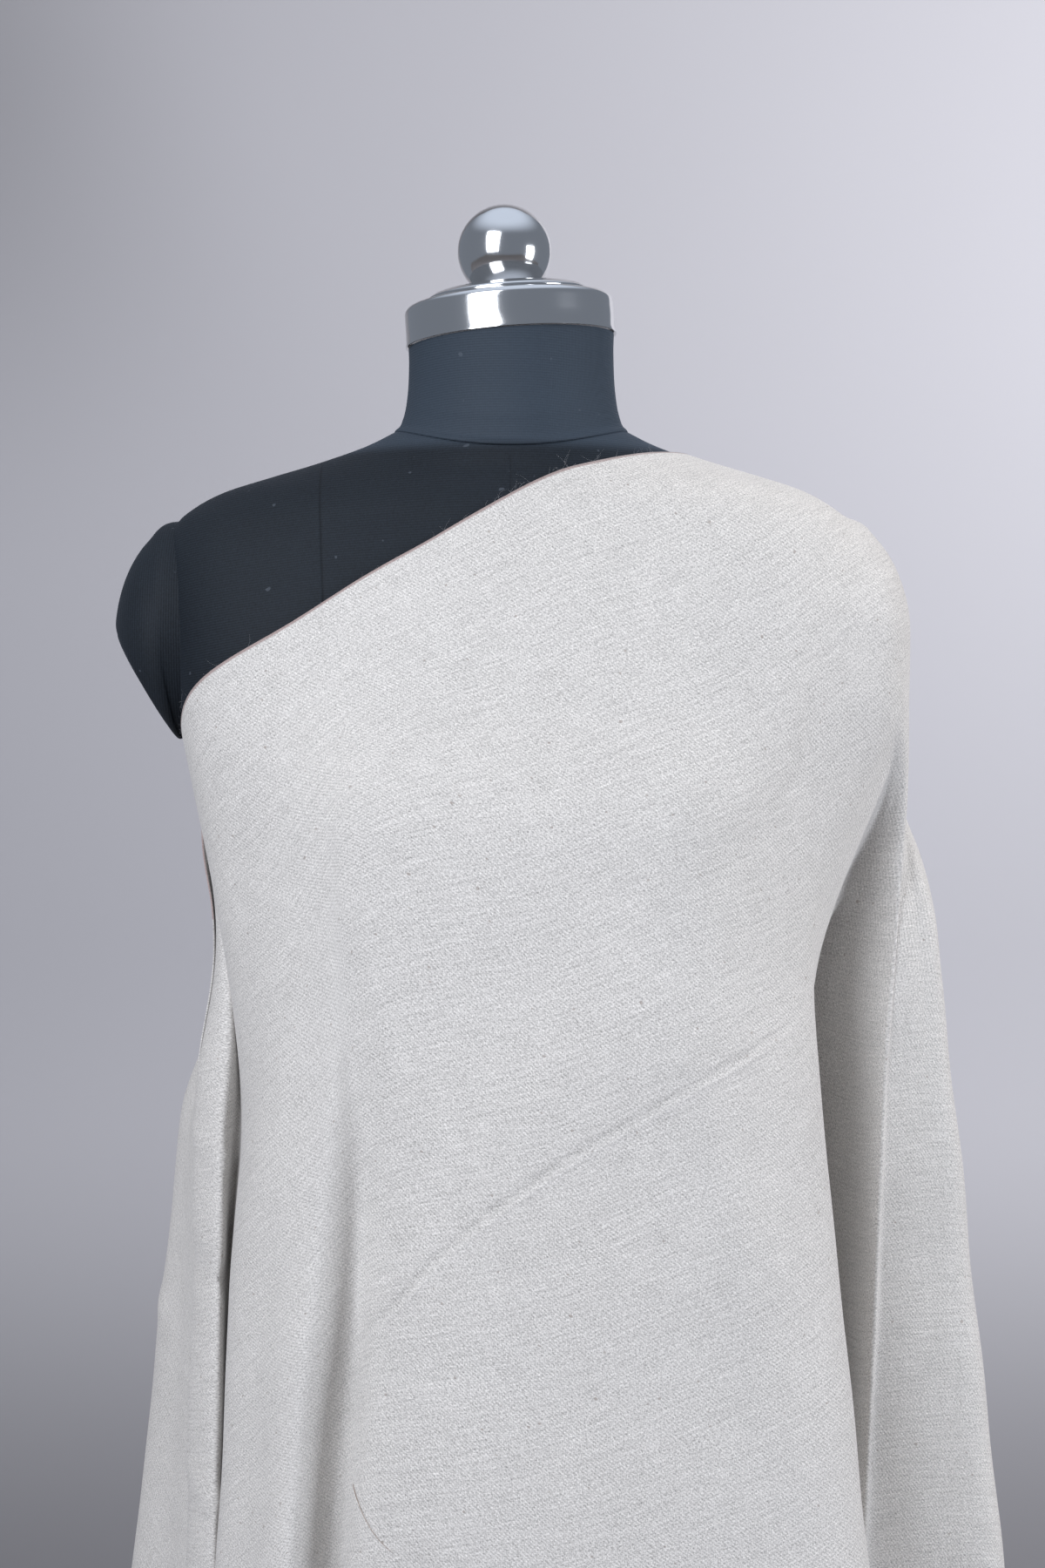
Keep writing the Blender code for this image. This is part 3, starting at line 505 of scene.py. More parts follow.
def jersey_look(name, form, upright):
    """Ribbed knitted cover, its ribs level on torso and neck and upright on the arm caps."""
    fixed = {"Sheen_Weight": 0.03, "Sheen_Roughness": 0.4, "Specular_IOR_Level": 0.22}
    look = Look(name, form.jersey, 0.7, **fixed)
    look.set("Sheen Tint", (0.62, 0.74, 1.0, 1.0))
    where = look.place()
    x, y, z = look.axes(where)
    if upright:
        level = abs(x)
        turn = z
    else:
        level = z + x * x * 0.5
        turn = x - y * 0.6
    warp = look.noise(where, 18.0, 1.0) * 0.0022
    rib = ((level + warp) * (TAU / form.rib_pitch)).sine()
    stitch = (turn * (TAU / 0.0009)).sine()
    cloud = look.noise(where, 16.0, 3.0)
    fuzz = look.noise(where, 900.0, 1.0)
    lint = look.noise(where, 210.0, 0.0).between(0.335, 0.37)
    tone = 0.52 + rib * 0.12 + stitch * 0.06 + cloud * 0.35 + fuzz * 0.45
    # Painted light: above its seam the neck's jersey is made much lighter than the torso's.
    tone = tone + z.between(1.404, 1.412) * 1.3
    tint = look.shaded(look.base, tone)
    tint = look.mixed(tint, (0.12, 0.14, 0.17, 1.0), lint * 0.35)
    height = rib * 0.000045 + stitch * 0.000012 + fuzz * 0.00003
    if not upright:
        seam = (abs(x) - 0.0965 + (z - 1.36) * -0.06).bell(0.0007) * y.between(-0.02, -0.03)
        seam = seam * z.between(1.2, 1.22)
        middle = x.bell(0.0006) * (1.0 - (z + abs(y) * 0.15).between(1.408, 1.412))
        seam = seam + middle * 0.6
        tint = look.shaded(tint, 1.0 - seam * 0.45)
        height = height - seam * 0.0003
    look.set("Base Color", tint)
    look.bumped(height, 0.8)
    return look.material


def polished_look(name, form):
    """Bright plated metal with smudges, fine scratches and brown tarnish round the raised disc."""
    look = Look(name, form.metal, 0.12, Metallic=1.0)
    where = look.place()
    x, _, z = look.axes(where)
    up = z - x * math.tan(CAP_TILT) - NECK_TOP
    smudge = look.noise(where, (60.0, 60.0, 90.0), 4.0)
    dull = look.noise(where, 210.0, 3.0)
    scratch = look.noise(where, (300.0, 300.0, 4200.0), 2.0)
    top = CAP_HEIGHT + DISC_HEIGHT
    above = up.between(top, top + 0.0006)
    disc = up.between(CAP_HEIGHT - 0.0004, CAP_HEIGHT + 0.0006) * (1.0 - above)
    foot = above * (1.0 - up.between(top + 0.0085, top + 0.01))
    haze = (x - 0.034).bell(0.02) * (1.0 - up.between(CAP_HEIGHT - 0.002, CAP_HEIGHT))
    haze = haze * (smudge + dull * 0.8 + 0.55) * 0.8
    stain = (smudge + dull * 0.6 + 0.2).between(0.0, 0.3)
    tarnish = disc * (stain * 0.5 + 0.35) + foot * (stain * 0.2 + 0.75)
    tint = look.shaded(look.base, 1.0 + smudge * 0.35 + dull * 0.25)
    tint = look.mixed(tint, (0.3, 0.235, 0.17, 1.0), tarnish)
    look.set("Base Color", tint)
    wear = (smudge + 0.05).between(0.0, 0.3)
    look.set("Roughness", 0.12 + wear * 0.12 + dull * 0.06 + tarnish * 0.55 + haze * 0.55)
    look.bumped(smudge * 0.000006 + scratch * 0.000002, 0.5)
    return look.material


def painted_look(name, form):
    """Dark stoved paint with a faint orange peel and dust."""
    look = Look(name, form.steel, 0.42, Coat_Weight=0.25, Coat_Roughness=0.3)
    where = look.place()
    peel = look.noise(where, 420.0, 2.0)
    dust = look.noise(where, 30.0, 4.0)
    tint = look.shaded(look.base, 1.0 + dust * 0.5)
    tint = look.mixed(tint, (0.2, 0.2, 0.21, 1.0), dust.between(0.05, 0.4) * 0.25)
    look.set("Base Color", tint)
    look.set("Roughness", 0.42 + dust * 0.2)
    look.bumped(peel * 0.00005, 0.5)
    return look.material


def thread_look(name, base):
    """Loose wool or thread: a plain fibre colour that varies along its length."""
    look = Look(name, base, 0.85, Sheen_Weight=0.2)
    uneven = look.noise(look.place(), 400.0)
    look.set("Base Color", look.shaded(look.base, 1.0 + uneven * 0.4))
    return look.material


def backdrop_look(name, stage):
    """Matt paper, with painted shade low on the wall and in its upper left; the floor is a little
    darker.
    """
    look = Look(name, stage.backdrop, 0.95, Specular_IOR_Level=0.1)
    where = look.place()
    x, y, z = look.axes(where)
    wall = y.between(1.3, 2.0)
    # Painted shade: the paper is darkened low on the wall, where it bends into the floor, and in
    # the wall's upper left.
    low = (1.0 - z.between(0.1, 0.8)) * wall
    corner = (0.35 - x - z * 0.25).between(0.1, 0.75) * z.between(1.5, 2.3)
    floor = (1.0 - z.between(0.0, 0.3)) * (1.0 - wall)
    tone = 1.0 + look.noise(where, 1.2) * 0.05 - low * 0.6 - corner * 0.3 - floor * 0.08
    look.set("Base Color", look.shaded(look.base, tone))
    return look.material


# ---------- surface tools
def through(places, values, at):
    """A smooth curve through table values: cubics whose slopes come from the neighbouring rows."""
    places = np.asarray(places, float)
    values = np.asarray(values, float)
    step = np.diff(places)
    slope = np.diff(values) / step
    tangent = np.empty_like(values)
    tangent[1:-1] = (slope[:-1] * step[1:] + slope[1:] * step[:-1]) / (step[:-1] + step[1:])
    tangent[0] = slope[0]
    tangent[-1] = slope[-1]
    at = np.clip(at, places[0], places[-1])
    row = np.clip(np.searchsorted(places, at, side="right") - 1, 0, len(step) - 1)
    s = (at - places[row]) / step[row]
    start = (1 + 2 * s) * (1 - s) ** 2 * values[row] + s**2 * (3 - 2 * s) * values[row + 1]
    lean = s * (1 - s) ** 2 * tangent[row] - s**2 * (1 - s) * tangent[row + 1]
    return start + lean * step[row]


def eased(low, high, value):
    """0 below low, 1 above high, and a smooth step between them."""
    s = np.clip((value - low) / (high - low), 0.0, 1.0)
    return s * s * (3.0 - 2.0 * s)


def columns_of(table, names):
    return dict(zip(names, np.array(table, float).T))


def around(count):
    return np.arange(count) * (TAU / count)


def smooth_rows(table, names, steps):
    """Every column of a table, as a smooth curve with this many steps from row to row."""
    rows = np.arange(len(table))
    at = np.linspace(0, rows[-1], steps * rows[-1] + 1)
    columns = columns_of(table, names).items()
    return {name: through(rows, values, at)[:, None] for name, values in columns}


def unit(vectors):
    return vectors / np.maximum(np.linalg.norm(vectors, axis=-1, keepdims=True), 1e-12)


def quads(rows, columns, closed):
    """The corners of every cell of a grid; a closed grid joins its last column to its first."""
    across = np.arange(columns if closed else columns - 1)
    first = np.arange(rows - 1)[:, None] * columns
    a = (first + across).ravel()
    b = (first + (across + 1) % columns).ravel()
    return np.stack([a, b, b + columns, a + columns], axis=1)


def fan(tip, first, sides):
    """Triangles from a tip to a ring of this many points."""
    side = np.arange(sides)
    return np.stack([np.full(sides, tip), first + side, first + (side + 1) % sides], 1)


def mesh_object(name, points, faces, look, sharp=None, plane=None):
    """A smooth-shaded object. plane gives each point its place on the cloth's UV map."""
    mesh = bpy.data.meshes.new(name)
    mesh.from_pydata(np.asarray(points, float).reshape(-1, 3).tolist(), [], faces)
    mesh.shade_smooth()
    if sharp:
        mesh.set_sharp_from_angle(angle=math.radians(sharp))
    if plane is not None:
        layer = mesh.uv_layers.new(name="cloth")
        corner = np.empty(len(mesh.loops), dtype=np.int32)
        mesh.loops.foreach_get("vertex_index", corner)
        layer.data.foreach_set("uv", plane.reshape(-1, 2)[corner].astype(np.float32).ravel())
    mesh.materials.append(look)
    obj = bpy.data.objects.new(name, mesh)
    bpy.context.scene.collection.objects.link(obj)
    return obj


def stand_in(name, node, rings, look, sharp):
    """A body through rings that takes one solid's place. The rings run counter-clockwise seen from
    the body's last end, and a fan closes each end."""
    layers, sides = rings.shape[:2]
    ends = np.array([rings[0].mean(axis=0), rings[-1].mean(axis=0)])
    points = np.vstack([rings.reshape(-1, 3), ends])
    low = fan(layers * sides, 0, sides)[:, ::-1]
    high = fan(layers * sides + 1, (layers - 1) * sides, sides)
    faces = quads(layers, sides, True).tolist() + low.tolist() + high.tolist()
    piece = mesh_object(name, points, faces, look, sharp)
    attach(piece, "root")
    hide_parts(node)


def turned(profile, height, tilt, sides=160):
    """Rings of a profile's radii and heights turned round the vertical, set at this height and then
    leant by tilt about the top of the neck."""
    profile = np.asarray(profile, float)
    angle = around(sides)
    pivot = NECK_TOP if tilt else 0.0
    x = profile[:, :1] * np.cos(angle)
    y = profile[:, :1] * np.sin(angle)
    up = profile[:, 1:] + height - pivot
    cos, sin = math.cos(tilt), math.sin(tilt)
    return np.stack([x * cos - up * sin, y, x * sin + up * cos + pivot], axis=2)


def quarter(centre, radius, start, end, steps=8):
    """Points of an arc in a profile, from one angle to another, in degrees from outwards to up."""
    turn = np.radians(np.linspace(start, end, steps))
    return [(centre[0] + radius * math.cos(t), centre[1] + radius * math.sin(t)) for t in turn]


def material_named(name, make, *details):
    """The material that has this name, or else a new one. The solids bring a plain polished_metal
    and painted_steel, so the metal pieces wear those, and the two looks here aren't reached."""
    return bpy.data.materials.get(name) or make(name, *details)


# ---------- the dress form's surfaces
def torso_grid(sides=132, steps=4):
    """Each ring is a rounded rectangle, a power of sine and cosine, with two bell-shaped mounds
    added in front; its front dips and its back rises with the square of the depth."""
    row = smooth_rows(TORSO_RINGS, TORSO_COLUMNS, steps)
    angle = around(sides)[None, :]
    side = np.cos(angle)
    depth = np.sin(angle)
    power = 2.0 / row["squareness"]
    x = row["half_width"] * np.sign(side) * np.abs(side) ** power
    y = np.where(depth < 0, row["front"], row["back"]) * np.sign(depth) * np.abs(depth) ** power
    away = (np.abs(x) - BUST["half_span"]) ** 2 + (row["z"] - BUST["height"]) ** 2
    y = y - BUST["depth"] * np.exp(-away / (2 * BUST["spread"] ** 2)) * eased(0.0, 0.6, -depth)
    front_share = np.clip(-y / row["front"], 0, 1) ** 2
    back_share = np.clip(y / row["back"], 0, 1) ** 2
    z = row["z"] - row["dip"] * front_share + row["rise"] * back_share
    return np.stack([x, y, z], axis=2)


def neck_grid(sides=132):
    """Circles that flare towards the slanted seam, each at its share of the way up to the cap."""
    last = dict(zip(TORSO_COLUMNS, TORSO_RINGS[-1]))
    angle = around(sides)[None, :]
    cos, sin = np.cos(angle), np.sin(angle)
    front_share = np.clip(-sin, 0, 1) ** 2
    back_share = np.clip(sin, 0, 1) ** 2
    seam = last["z"] - last["dip"] * front_share + last["rise"] * back_share
    top = NECK_TOP + math.tan(CAP_TILT) * NECK_RADIUS * cos
    row = smooth_rows(NECK_RINGS, NECK_COLUMNS, 6)
    near = np.clip(1.0 - row["share"] / 0.25, 0, 1)
    wide = NECK_RADIUS + row["flare"]
    deep = wide - near * np.where(sin < 0, 0.003, 0.0055)
    z = seam + row["share"] * (top - seam) - row["drop"]
    return np.stack([wide * cos, deep * sin, z], axis=2)


def arm_grid(outwards, sides=96, steps=6):
    """Ovals that lean and shrink from inside the torso out to the rim of the flat plate. The last
    ones round the rim over."""
    row = smooth_rows(ARM_OVALS, ARM_COLUMNS, steps)
    angle = around(sides)[None, :]
    cos, sin = np.cos(angle), np.sin(angle)
    x = (row["top_x"] + row["bottom_x"]) / 2 + cos * (row["top_x"] - row["bottom_x"]) / 2
    z = (row["top_z"] + row["bottom_z"]) / 2 + cos * (row["top_z"] - row["bottom_z"]) / 2
    y = outwards * sin * row["half_depth"]
    return np.stack([outwards * x, y, z], axis=2)[:, ::-1]


def make_form(context):
    form = context.scene.dressed_form.form
    level = material_named("jersey_level", jersey_look, form, False)
    upright = material_named("jersey_upright", jersey_look, form, True)
    stand_in("form_torso", "torso", torso_grid(), level, 60)
    stand_in("form_neck", "neck", neck_grid(), level, 60)
    stand_in("bare_arm_cap", "arm_cap_right", arm_grid(-1), upright, 40)
    stand_in("covered_arm_cap", "arm_cap_left", arm_grid(1), upright, 40)


def make_metal(context):
    form = context.scene.dressed_form.form
    metal = material_named("polished_metal", polished_look, form)
    painted = material_named("painted_steel", painted_look, form)

    cap = [(0.001, 0.0012), (0.054, 0.001), (0.0556, 0.0002), (0.0562, 0.0002)]
    cap += [(0.0562, 0.0012), (0.0558, 0.0024), (0.0557, 0.009), (0.0556, 0.016)]
    cap += quarter((0.0518, CAP_HEIGHT - 0.0042), 0.0038, 8, 82)
    cap += [(0.051, CAP_HEIGHT - 0.0002), (0.046, CAP_HEIGHT), (0.001, CAP_HEIGHT)]

    disc = [(0.001, 0.0), (0.0432, 0.0)]
    disc += quarter((0.0424, 0.0016), 0.0016, -70, 60, 6)
    disc += [(0.042, 0.0034), (0.0405, 0.0045), (0.0385, DISC_HEIGHT)]
    disc += [(0.001, DISC_HEIGHT + 0.0002)]

    middle = BALL_RADIUS - BALL_SUNK
    start = 90 - math.degrees(math.acos(middle / BALL_RADIUS))
    ball = [(0.001, 0.0)]
    ball += quarter((0.0, middle), BALL_RADIUS, -start, 90 - math.degrees(0.01), 64)

    low = BASE_TOP + METAL_GAP
    high = TORSO_FLOOR - PLATE_HEIGHT - 2 * METAL_GAP
    post = [(0.001, low), (POST_RADIUS - 0.001, low), (POST_RADIUS, low + 0.001)]
    post += [(POST_RADIUS, high - 0.001), (POST_RADIUS - 0.001, high), (0.001, high)]

    base = [(0.001, 0.0), (BASE_RADIUS - 0.003, 0.0), (BASE_RADIUS - 0.0008, 0.0008)]
    base += [(BASE_RADIUS, 0.003), (BASE_RADIUS, 0.008)]
    base += quarter((BASE_RADIUS - 0.004, 0.008), 0.004, 10, 90)
    base += [(0.048, 0.0135), (0.044, 0.0142), (0.0385, 0.018), (0.0345, 0.025)]
    base += [(0.031, 0.038), (0.029, 0.041), (0.026, BASE_TOP), (0.001, BASE_TOP)]

    cap_foot = NECK_TOP + METAL_GAP
    disc_foot = cap_foot + CAP_HEIGHT + METAL_GAP
    ball_foot = disc_foot + DISC_HEIGHT + METAL_GAP
    stand_in("bright_neck_cap", "neck_cap", turned(cap, cap_foot, CAP_TILT), metal, 35)
    stand_in("raised_disc", "cap_disc", turned(disc, disc_foot, CAP_TILT), metal, 35)
    stand_in("bright_ball", "ball_finial", turned(ball, ball_foot, CAP_TILT), metal, 35)
    stand_in("stand_post", "post", turned(post, 0.0, 0.0), metal, 35)
    stand_in("round_base", "stand_base", turned(base, 0.0, 0.0), painted, 35)

    ring = torso_grid(132, 1)[0] * np.array([0.96, 0.96, 0.0])
    inset = np.array([0.99, 1.0, 1.0, 0.99])[:, None, None]
    drop = np.array([0.0083, 0.0073, 0.0013, METAL_GAP])[:, None, None]
    rings = ring * inset + np.array([0.0, 0.0, 1.0]) * (TORSO_FLOOR - drop)
    stand_in("lower_plate", "bottom_plate", rings, painted, 40)


# ---------- the stole
def grown(grid, gap):
    """A closed skin's points moved out along its normals by this gap."""
    wide = np.concatenate([grid[:, -1:], grid, grid[:, :1]], axis=1)
    across = (wide[:, 2:] - wide[:, :-2]) / 2
    return grid + unit(np.cross(across, np.gradient(grid, axis=0))) * gap


def skin_field(gap):
    """Distance from the vertical axis of the form's skin, grown by the gap, by level and direction.
    It is read with one ray for each, so the arm cap under the cloth counts as well."""
    points, cells, count = [], [], 0
    for grid in (torso_grid(), neck_grid(), arm_grid(1)):
        skin = grown(grid, gap)
        layers, sides = skin.shape[:2]
        points += skin.reshape(-1, 3).tolist() + [skin[-1].mean(axis=0).tolist()]
        cells += (quads(layers, sides, True) + count).tolist()
        count = len(points)
        cells += fan(count - 1, count - 1 - sides, sides).tolist()
    tree = BVHTree.FromPolygons(points, cells)
    rays = [Vector((math.cos(a), math.sin(a), 0.0)) for a in np.radians(CIRCLE)]
    field = np.zeros((len(LEVELS), len(CIRCLE)))
    for i, height in enumerate(LEVELS):
        for j, outward in enumerate(rays):
            far = tree.ray_cast(outward + Vector((0.0, 0.0, height)), -outward, 1.0)[3]
            field[i, j] = 1.0 - (1.0 if far is None else far)
    return field


def stretched(radii, covered):
    """Radii of these directions on the hull of their own points and the axis."""
    circle = np.radians(CIRCLE)
    ray = np.stack([np.cos(circle), np.sin(circle)], axis=1)[covered]
    corners = np.vstack([ray * radii[covered, None], [[0.0, 0.0]]])
    ring = corners[convex_hull_2d(corners.tolist())]
    along = np.roll(ring, -1, axis=0) - ring
    cross = ray[:, :1] * along[:, 1] - ray[:, 1:] * along[:, 0]
    safe = np.where(np.abs(cross) < 1e-12, 1e-12, cross)
    reach = (ring[:, 0] * along[:, 1] - ring[:, 1] * along[:, 0]) / safe
    share = (ring[:, 0] * ray[:, 1:] - ring[:, 1] * ray[:, :1]) / safe
    hit = (share >= -1e-9) & (share <= 1 + 1e-9) & (reach > 0)
    return np.maximum(radii[covered], np.where(hit, reach, 0.0).max(axis=1))


def edge_height(direction):
    """Height of the upper edge at these directions, and nothing outside the stole's two ends."""
    edge = columns_of(EDGE_POINTS, EDGE_COLUMNS)
    height = through(edge["direction"], edge["height"], direction)
    outside = (direction < EDGE_POINTS[0][0]) | (direction > EDGE_POINTS[-1][0])
    return np.where(outside, -np.inf, height)


def taut_field(skin):
    """Distance of taut cloth from the axis. Going down from the upper edge it comes back in only
    where it is wound tight under the bare arm, and each level is stretched flat over what it has
    passed."""
    edge = np.stack([edge_height(CIRCLE), edge_height(CIRCLE + 360)]).max(axis=0)
    cling = CLING_SLOPE * np.exp(-(((CIRCLE - 180.0) / CLING_WIDTH) ** 2))
    held = skin.copy()
    for level in range(1, len(LEVELS)):
        covered = LEVELS[level - 1] <= edge
        kept = held[level - 1] - cling * (LEVELS[level - 1] - LEVELS[level])
        held[level] = np.where(covered, np.maximum(kept, skin[level]), skin[level])
    for level, height in enumerate(LEVELS):
        covered = np.flatnonzero(height <= edge)
        if len(covered) > 2:
            held[level, covered] = stretched(held[level], covered)
    for _ in range(2):
        even = (np.roll(held, 1, axis=1) + 2 * held + np.roll(held, -1, axis=1)) / 4
        held = np.maximum(even, skin)
    return held


def blend(grid, i, j, k, a, b):
    """Values between rows i and i + 1, by a, and between columns j and k, by b."""
    upper = grid[i, j] * (1 - b) + grid[i, k] * b
    lower = grid[i + 1, j] * (1 - b) + grid[i + 1, k] * b
    return upper * (1 - a) + lower * a


def read_field(field, height, heading):
    """A field's value between its levels and, round the circle, between its directions."""
    level = np.interp(-height, -LEVELS, np.arange(len(LEVELS)))
    turn = (np.degrees(heading) / (CIRCLE[1] - CIRCLE[0])) % len(CIRCLE)
    i = np.minimum(level.astype(int), len(LEVELS) - 2)
    j = turn.astype(int) % len(CIRCLE)
    return blend(field, i, j, (j + 1) % len(CIRCLE), level - i, turn - np.floor(turn))


def fall_lines(held):
    """For each place along the stole, the line from the upper edge straight down: taut over the
    form at first, and then blending into its fold's own hanging line below the fold's start."""
    folds = columns_of(tuple(FOLDS.values()), FOLD_COLUMNS)
    plain = np.degrees(np.arctan2(folds["mid_y"], folds["mid_x"]))
    folds["mid_heading"] = np.sort(plain + 360 * np.round((folds["direction"] - plain) / 360))
    rows = np.arange(len(FOLDS))
    at = {name: through(rows, values, PLACES)[:, None] for name, values in folds.items()}
    edge = columns_of(EDGE_POINTS, EDGE_COLUMNS)
    top = through(edge["direction"], edge["height"], at["direction"])
    drop = np.concatenate([np.arange(0.0, 0.1, 0.001), np.arange(0.1, 0.9, 0.004)])
    height = top - drop[None, :]
    turning = eased(0.0, 1.0, (top - height) / np.maximum(top - TURN_LEVEL, 0.03))
    heading = np.radians(at["direction"] + turning * (at["mid_heading"] - at["direction"]))
    radius = read_field(held, np.maximum(height, LOWEST), heading) + at["lift"]
    down = (MID_LEVEL - height) / (MID_LEVEL - LOW_LEVEL)
    down = np.minimum(down, 1.0) + 1.0 - np.exp(-np.maximum(down - 1.0, 0.0))
    hung_x = at["mid_x"] + down * (at["low_x"] - at["mid_x"])
    hung_y = at["mid_y"] + down * (at["low_y"] - at["mid_y"])
    free = eased(0.0, 1.0, (at["start"] - height) / at["settling"])
    x = radius * np.cos(heading)
    y = radius * np.sin(heading)
    lines = np.stack([x + free * (hung_x - x), y + free * (hung_y - y), height], axis=2)
    return lines, through(edge["direction"], edge["fall"], at["direction"][:, 0])


def cloth_grid(held):
    """Points at the rows' shares of the way down each fall line, measured along the line."""
    lines, fall = fall_lines(held)
    run = np.cumsum(np.linalg.norm(np.diff(lines, axis=1, prepend=lines[:, :1]), axis=2), axis=1)
    grid = np.empty((len(SHARES), len(PLACES), 3))
    for column in range(len(PLACES)):
        at = SHARES * fall[column]
        for axis in range(3):
            grid[:, column, axis] = np.interp(at, run[column], lines[column, :, axis])
    return grid, fall


def cloth_plane(grid, fall):
    """Each point's u and v: v is its share of the cloth's width, and u the length along its row
    from a column on the chest, where the cloth lies slanting and each row starts further back."""
    steps = np.linalg.norm(np.diff(grid, axis=1), axis=2)
    run = np.concatenate([np.zeros((len(SHARES), 1)), np.cumsum(steps, axis=1)], axis=1)
    zero = int(np.argmin(np.abs(PLACES - CHEST_ROW)))
    back = -CHEST_SLANT * SHARES * fall[zero]
    u = run - run[:, zero : zero + 1] + back[:, None]
    v = np.broadcast_to(SHARES[:, None] * STOLE_WIDTH, u.shape)
    return np.stack([u, v], axis=2)


def spot_on(plane, fold_row, share):
    """u and v at a fold row and share of the width."""
    column = np.interp(fold_row, PLACES, np.arange(len(PLACES)))
    row = np.interp(share, SHARES, np.arange(len(SHARES)))
    return plane[int(round(row)), int(round(column))]


def from_line(plane, start, end):
    """Signed distance of every point from a line on the cloth, and the share of the way along."""
    along = end - start
    reach = np.linalg.norm(along)
    along = along / reach
    offset = plane - start
    share = (offset @ along) / reach
    return offset[..., 0] * along[1] - offset[..., 1] * along[0], share


def soft_relief(plane):
    """Low ridges and troughs: a bell across each line of the table, faded out at its two ends, and
    a faint uneven surface from a few long waves."""
    height = np.zeros(plane.shape[:2])
    for row_a, share_a, row_b, share_b, half_width, rise in SOFT_RIDGES:
        start = spot_on(plane, row_a, share_a)
        end = spot_on(plane, row_b, share_b)
        far, along = from_line(plane, start, end)
        fade = eased(-0.25, 0.15, along) * eased(-0.25, 0.15, 1.0 - along)
        height += rise * fade * np.exp(-((far / half_width) ** 2))
    u, v = plane[..., 0], plane[..., 1]
    waves = np.sin(u * 31 + v * 17) * np.sin(v * 47 - u * 9 + 1.3)
    waves += 0.7 * np.sin(u * 14 - v * 63 + 2.1)
    return height + 0.00045 * waves * eased(0.05, 0.25, v)


def evened(grid, passes):
    """Each inner point moved a little towards the middle of its four neighbours."""
    for _ in range(passes):
        middle = (grid[:-2, 1:-1] + grid[2:, 1:-1] + grid[1:-1, :-2] + grid[1:-1, 2:]) / 4
        grid[1:-1, 1:-1] += (middle - grid[1:-1, 1:-1]) * 0.5
    return grid


def seated(grid, skin):
    """Points that would lie inside the grown skin are moved straight out to it."""
    reach = np.hypot(grid[..., 0], grid[..., 1])
    heading = np.arctan2(grid[..., 1], grid[..., 0])
    floor = read_field(skin, np.maximum(grid[..., 2], LOWEST), heading)
    short = np.where(grid[..., 2] > TORSO_FLOOR, np.maximum(floor - reach, 0.0), 0.0)
    grid[..., 0] += np.cos(heading) * short
    grid[..., 1] += np.sin(heading) * short
    return grid


def outward(grid):
    """The cloth's outward normal at each point."""
    return unit(np.cross(np.gradient(grid, axis=0), np.gradient(grid, axis=1)))


def stole_surface(cloth):
    """The stole's inner face as a grid, its cloth plane, each point's distance from the pressed
    line, and how clearly that line shows there."""
    skin = skin_field(cloth.gap)
    held = taut_field(skin)
    grid, fall = cloth_grid(held)
    grid = evened(grid, 2)
    plane = cloth_plane(grid, fall)
    grid = grid + outward(grid) * soft_relief(plane)[..., None]
    grid = seated(grid, skin)
    spots = np.array([spot_on(plane, *spot) for spot in PRESSED_LINE])
    far = plane[..., 1] - through(spots[:, 0], spots[:, 1], plane[..., 0])
    share = eased(spots[0, 0] - 0.03, spots[0, 0] + 0.05, plane[..., 0])
    share *= 1.0 - eased(spots[-1, 0] - 0.06, spots[-1, 0] + 0.03, plane[..., 0])
    return grid, plane, far, share


def tubes(name, spines, radius, look):
    """Thin three-sided tubes along many spines of equal length, given as an array of points."""
    count, steps = spines.shape[:2]
    ahead = unit(np.gradient(spines, axis=1))
    side = unit(np.cross(ahead, np.array([0.31, 0.82, 0.47])))
    up = np.cross(ahead, side)
    turn = around(3)[:, None]
    ring = side[:, :, None] * np.cos(turn) + up[:, :, None] * np.sin(turn)
    taper = np.linspace(1.0, 0.45, steps)[None, :, None, None]
    points = spines[:, :, None] + ring * radius * taper
    first = (np.arange(count) * steps * 3)[:, None, None]
    cells = (first + quads(steps, 3, True)[None]).reshape(-1, 4)
    caps = np.concatenate(
        [first[:, 0] + np.array([[2, 1, 0]]), first[:, 0] + (steps - 1) * 3 + np.array([[0, 1, 2]])]
    )
    return mesh_object(name, points, cells.tolist() + caps.tolist(), look)


def loose_hairs(grid, chance, count, rows, columns, reach):
    """Curved spines that start on the cloth at random spots of these rows and columns."""
    r = chance.integers(*rows, count)
    c = chance.integers(*columns, count)
    root = grid[r, c]
    normal = outward(grid)[r, c]
    along = unit(np.gradient(grid, axis=1))[r, c]
    upward = np.where(r[:, None] < 2, -unit(np.gradient(grid, axis=0))[r, c], 0.0)
    size = chance.uniform(*reach, count)[:, None]
    out = unit(
        normal * chance.uniform(0.15, 0.9, (count, 1))
        + upward * chance.uniform(0.3, 1.6, (count, 1))
        + along * chance.normal(0, 0.9, (count, 1))
    )
    bend = chance.normal(0, 0.4, (count, 3))
    t = np.linspace(0, 1, 7)[None, :, None]
    return root[:, None] + (out[:, None] * t + bend[:, None] * t * t) * size[:, None]


def make_stole(context):
    cloth = context.scene.dressed_form.cloth
    look = material_named("wool_twill", wool_look, cloth)
    grid, plane, pressed, pressed_share = stole_surface(cloth)
    faces = quads(*grid.shape[:2], False)[:, ::-1].tolist()
    stole = mesh_object("wool_stole", grid, faces, look, plane=plane)
    for name, values in (("pressed", pressed), ("pressed_share", pressed_share)):
        kept = stole.data.attributes.new(name, "FLOAT", "POINT")
        kept.data.foreach_set("value", values.astype(np.float32).ravel())
    wall = stole.modifiers.new("thickness", "SOLIDIFY")
    wall.thickness = cloth.thickness
    wall.offset = 1.0
    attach(stole, "root")
    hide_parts("stole_front", "stole_arm", "stole_back")

    chance = np.random.default_rng(12)
    surface = grid + outward(grid) * cloth.thickness
    spines = np.concatenate([loose_hairs(surface, chance, *group) for group in HAIRS])
    look = material_named("loose_wool", thread_look, (0.56, 0.57, 0.6))
    hairs = tubes("loose_wool", spines, HAIR_RADIUS, look)
    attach(hairs, "root")
    thread = thread_on(surface)
    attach(thread, "root")


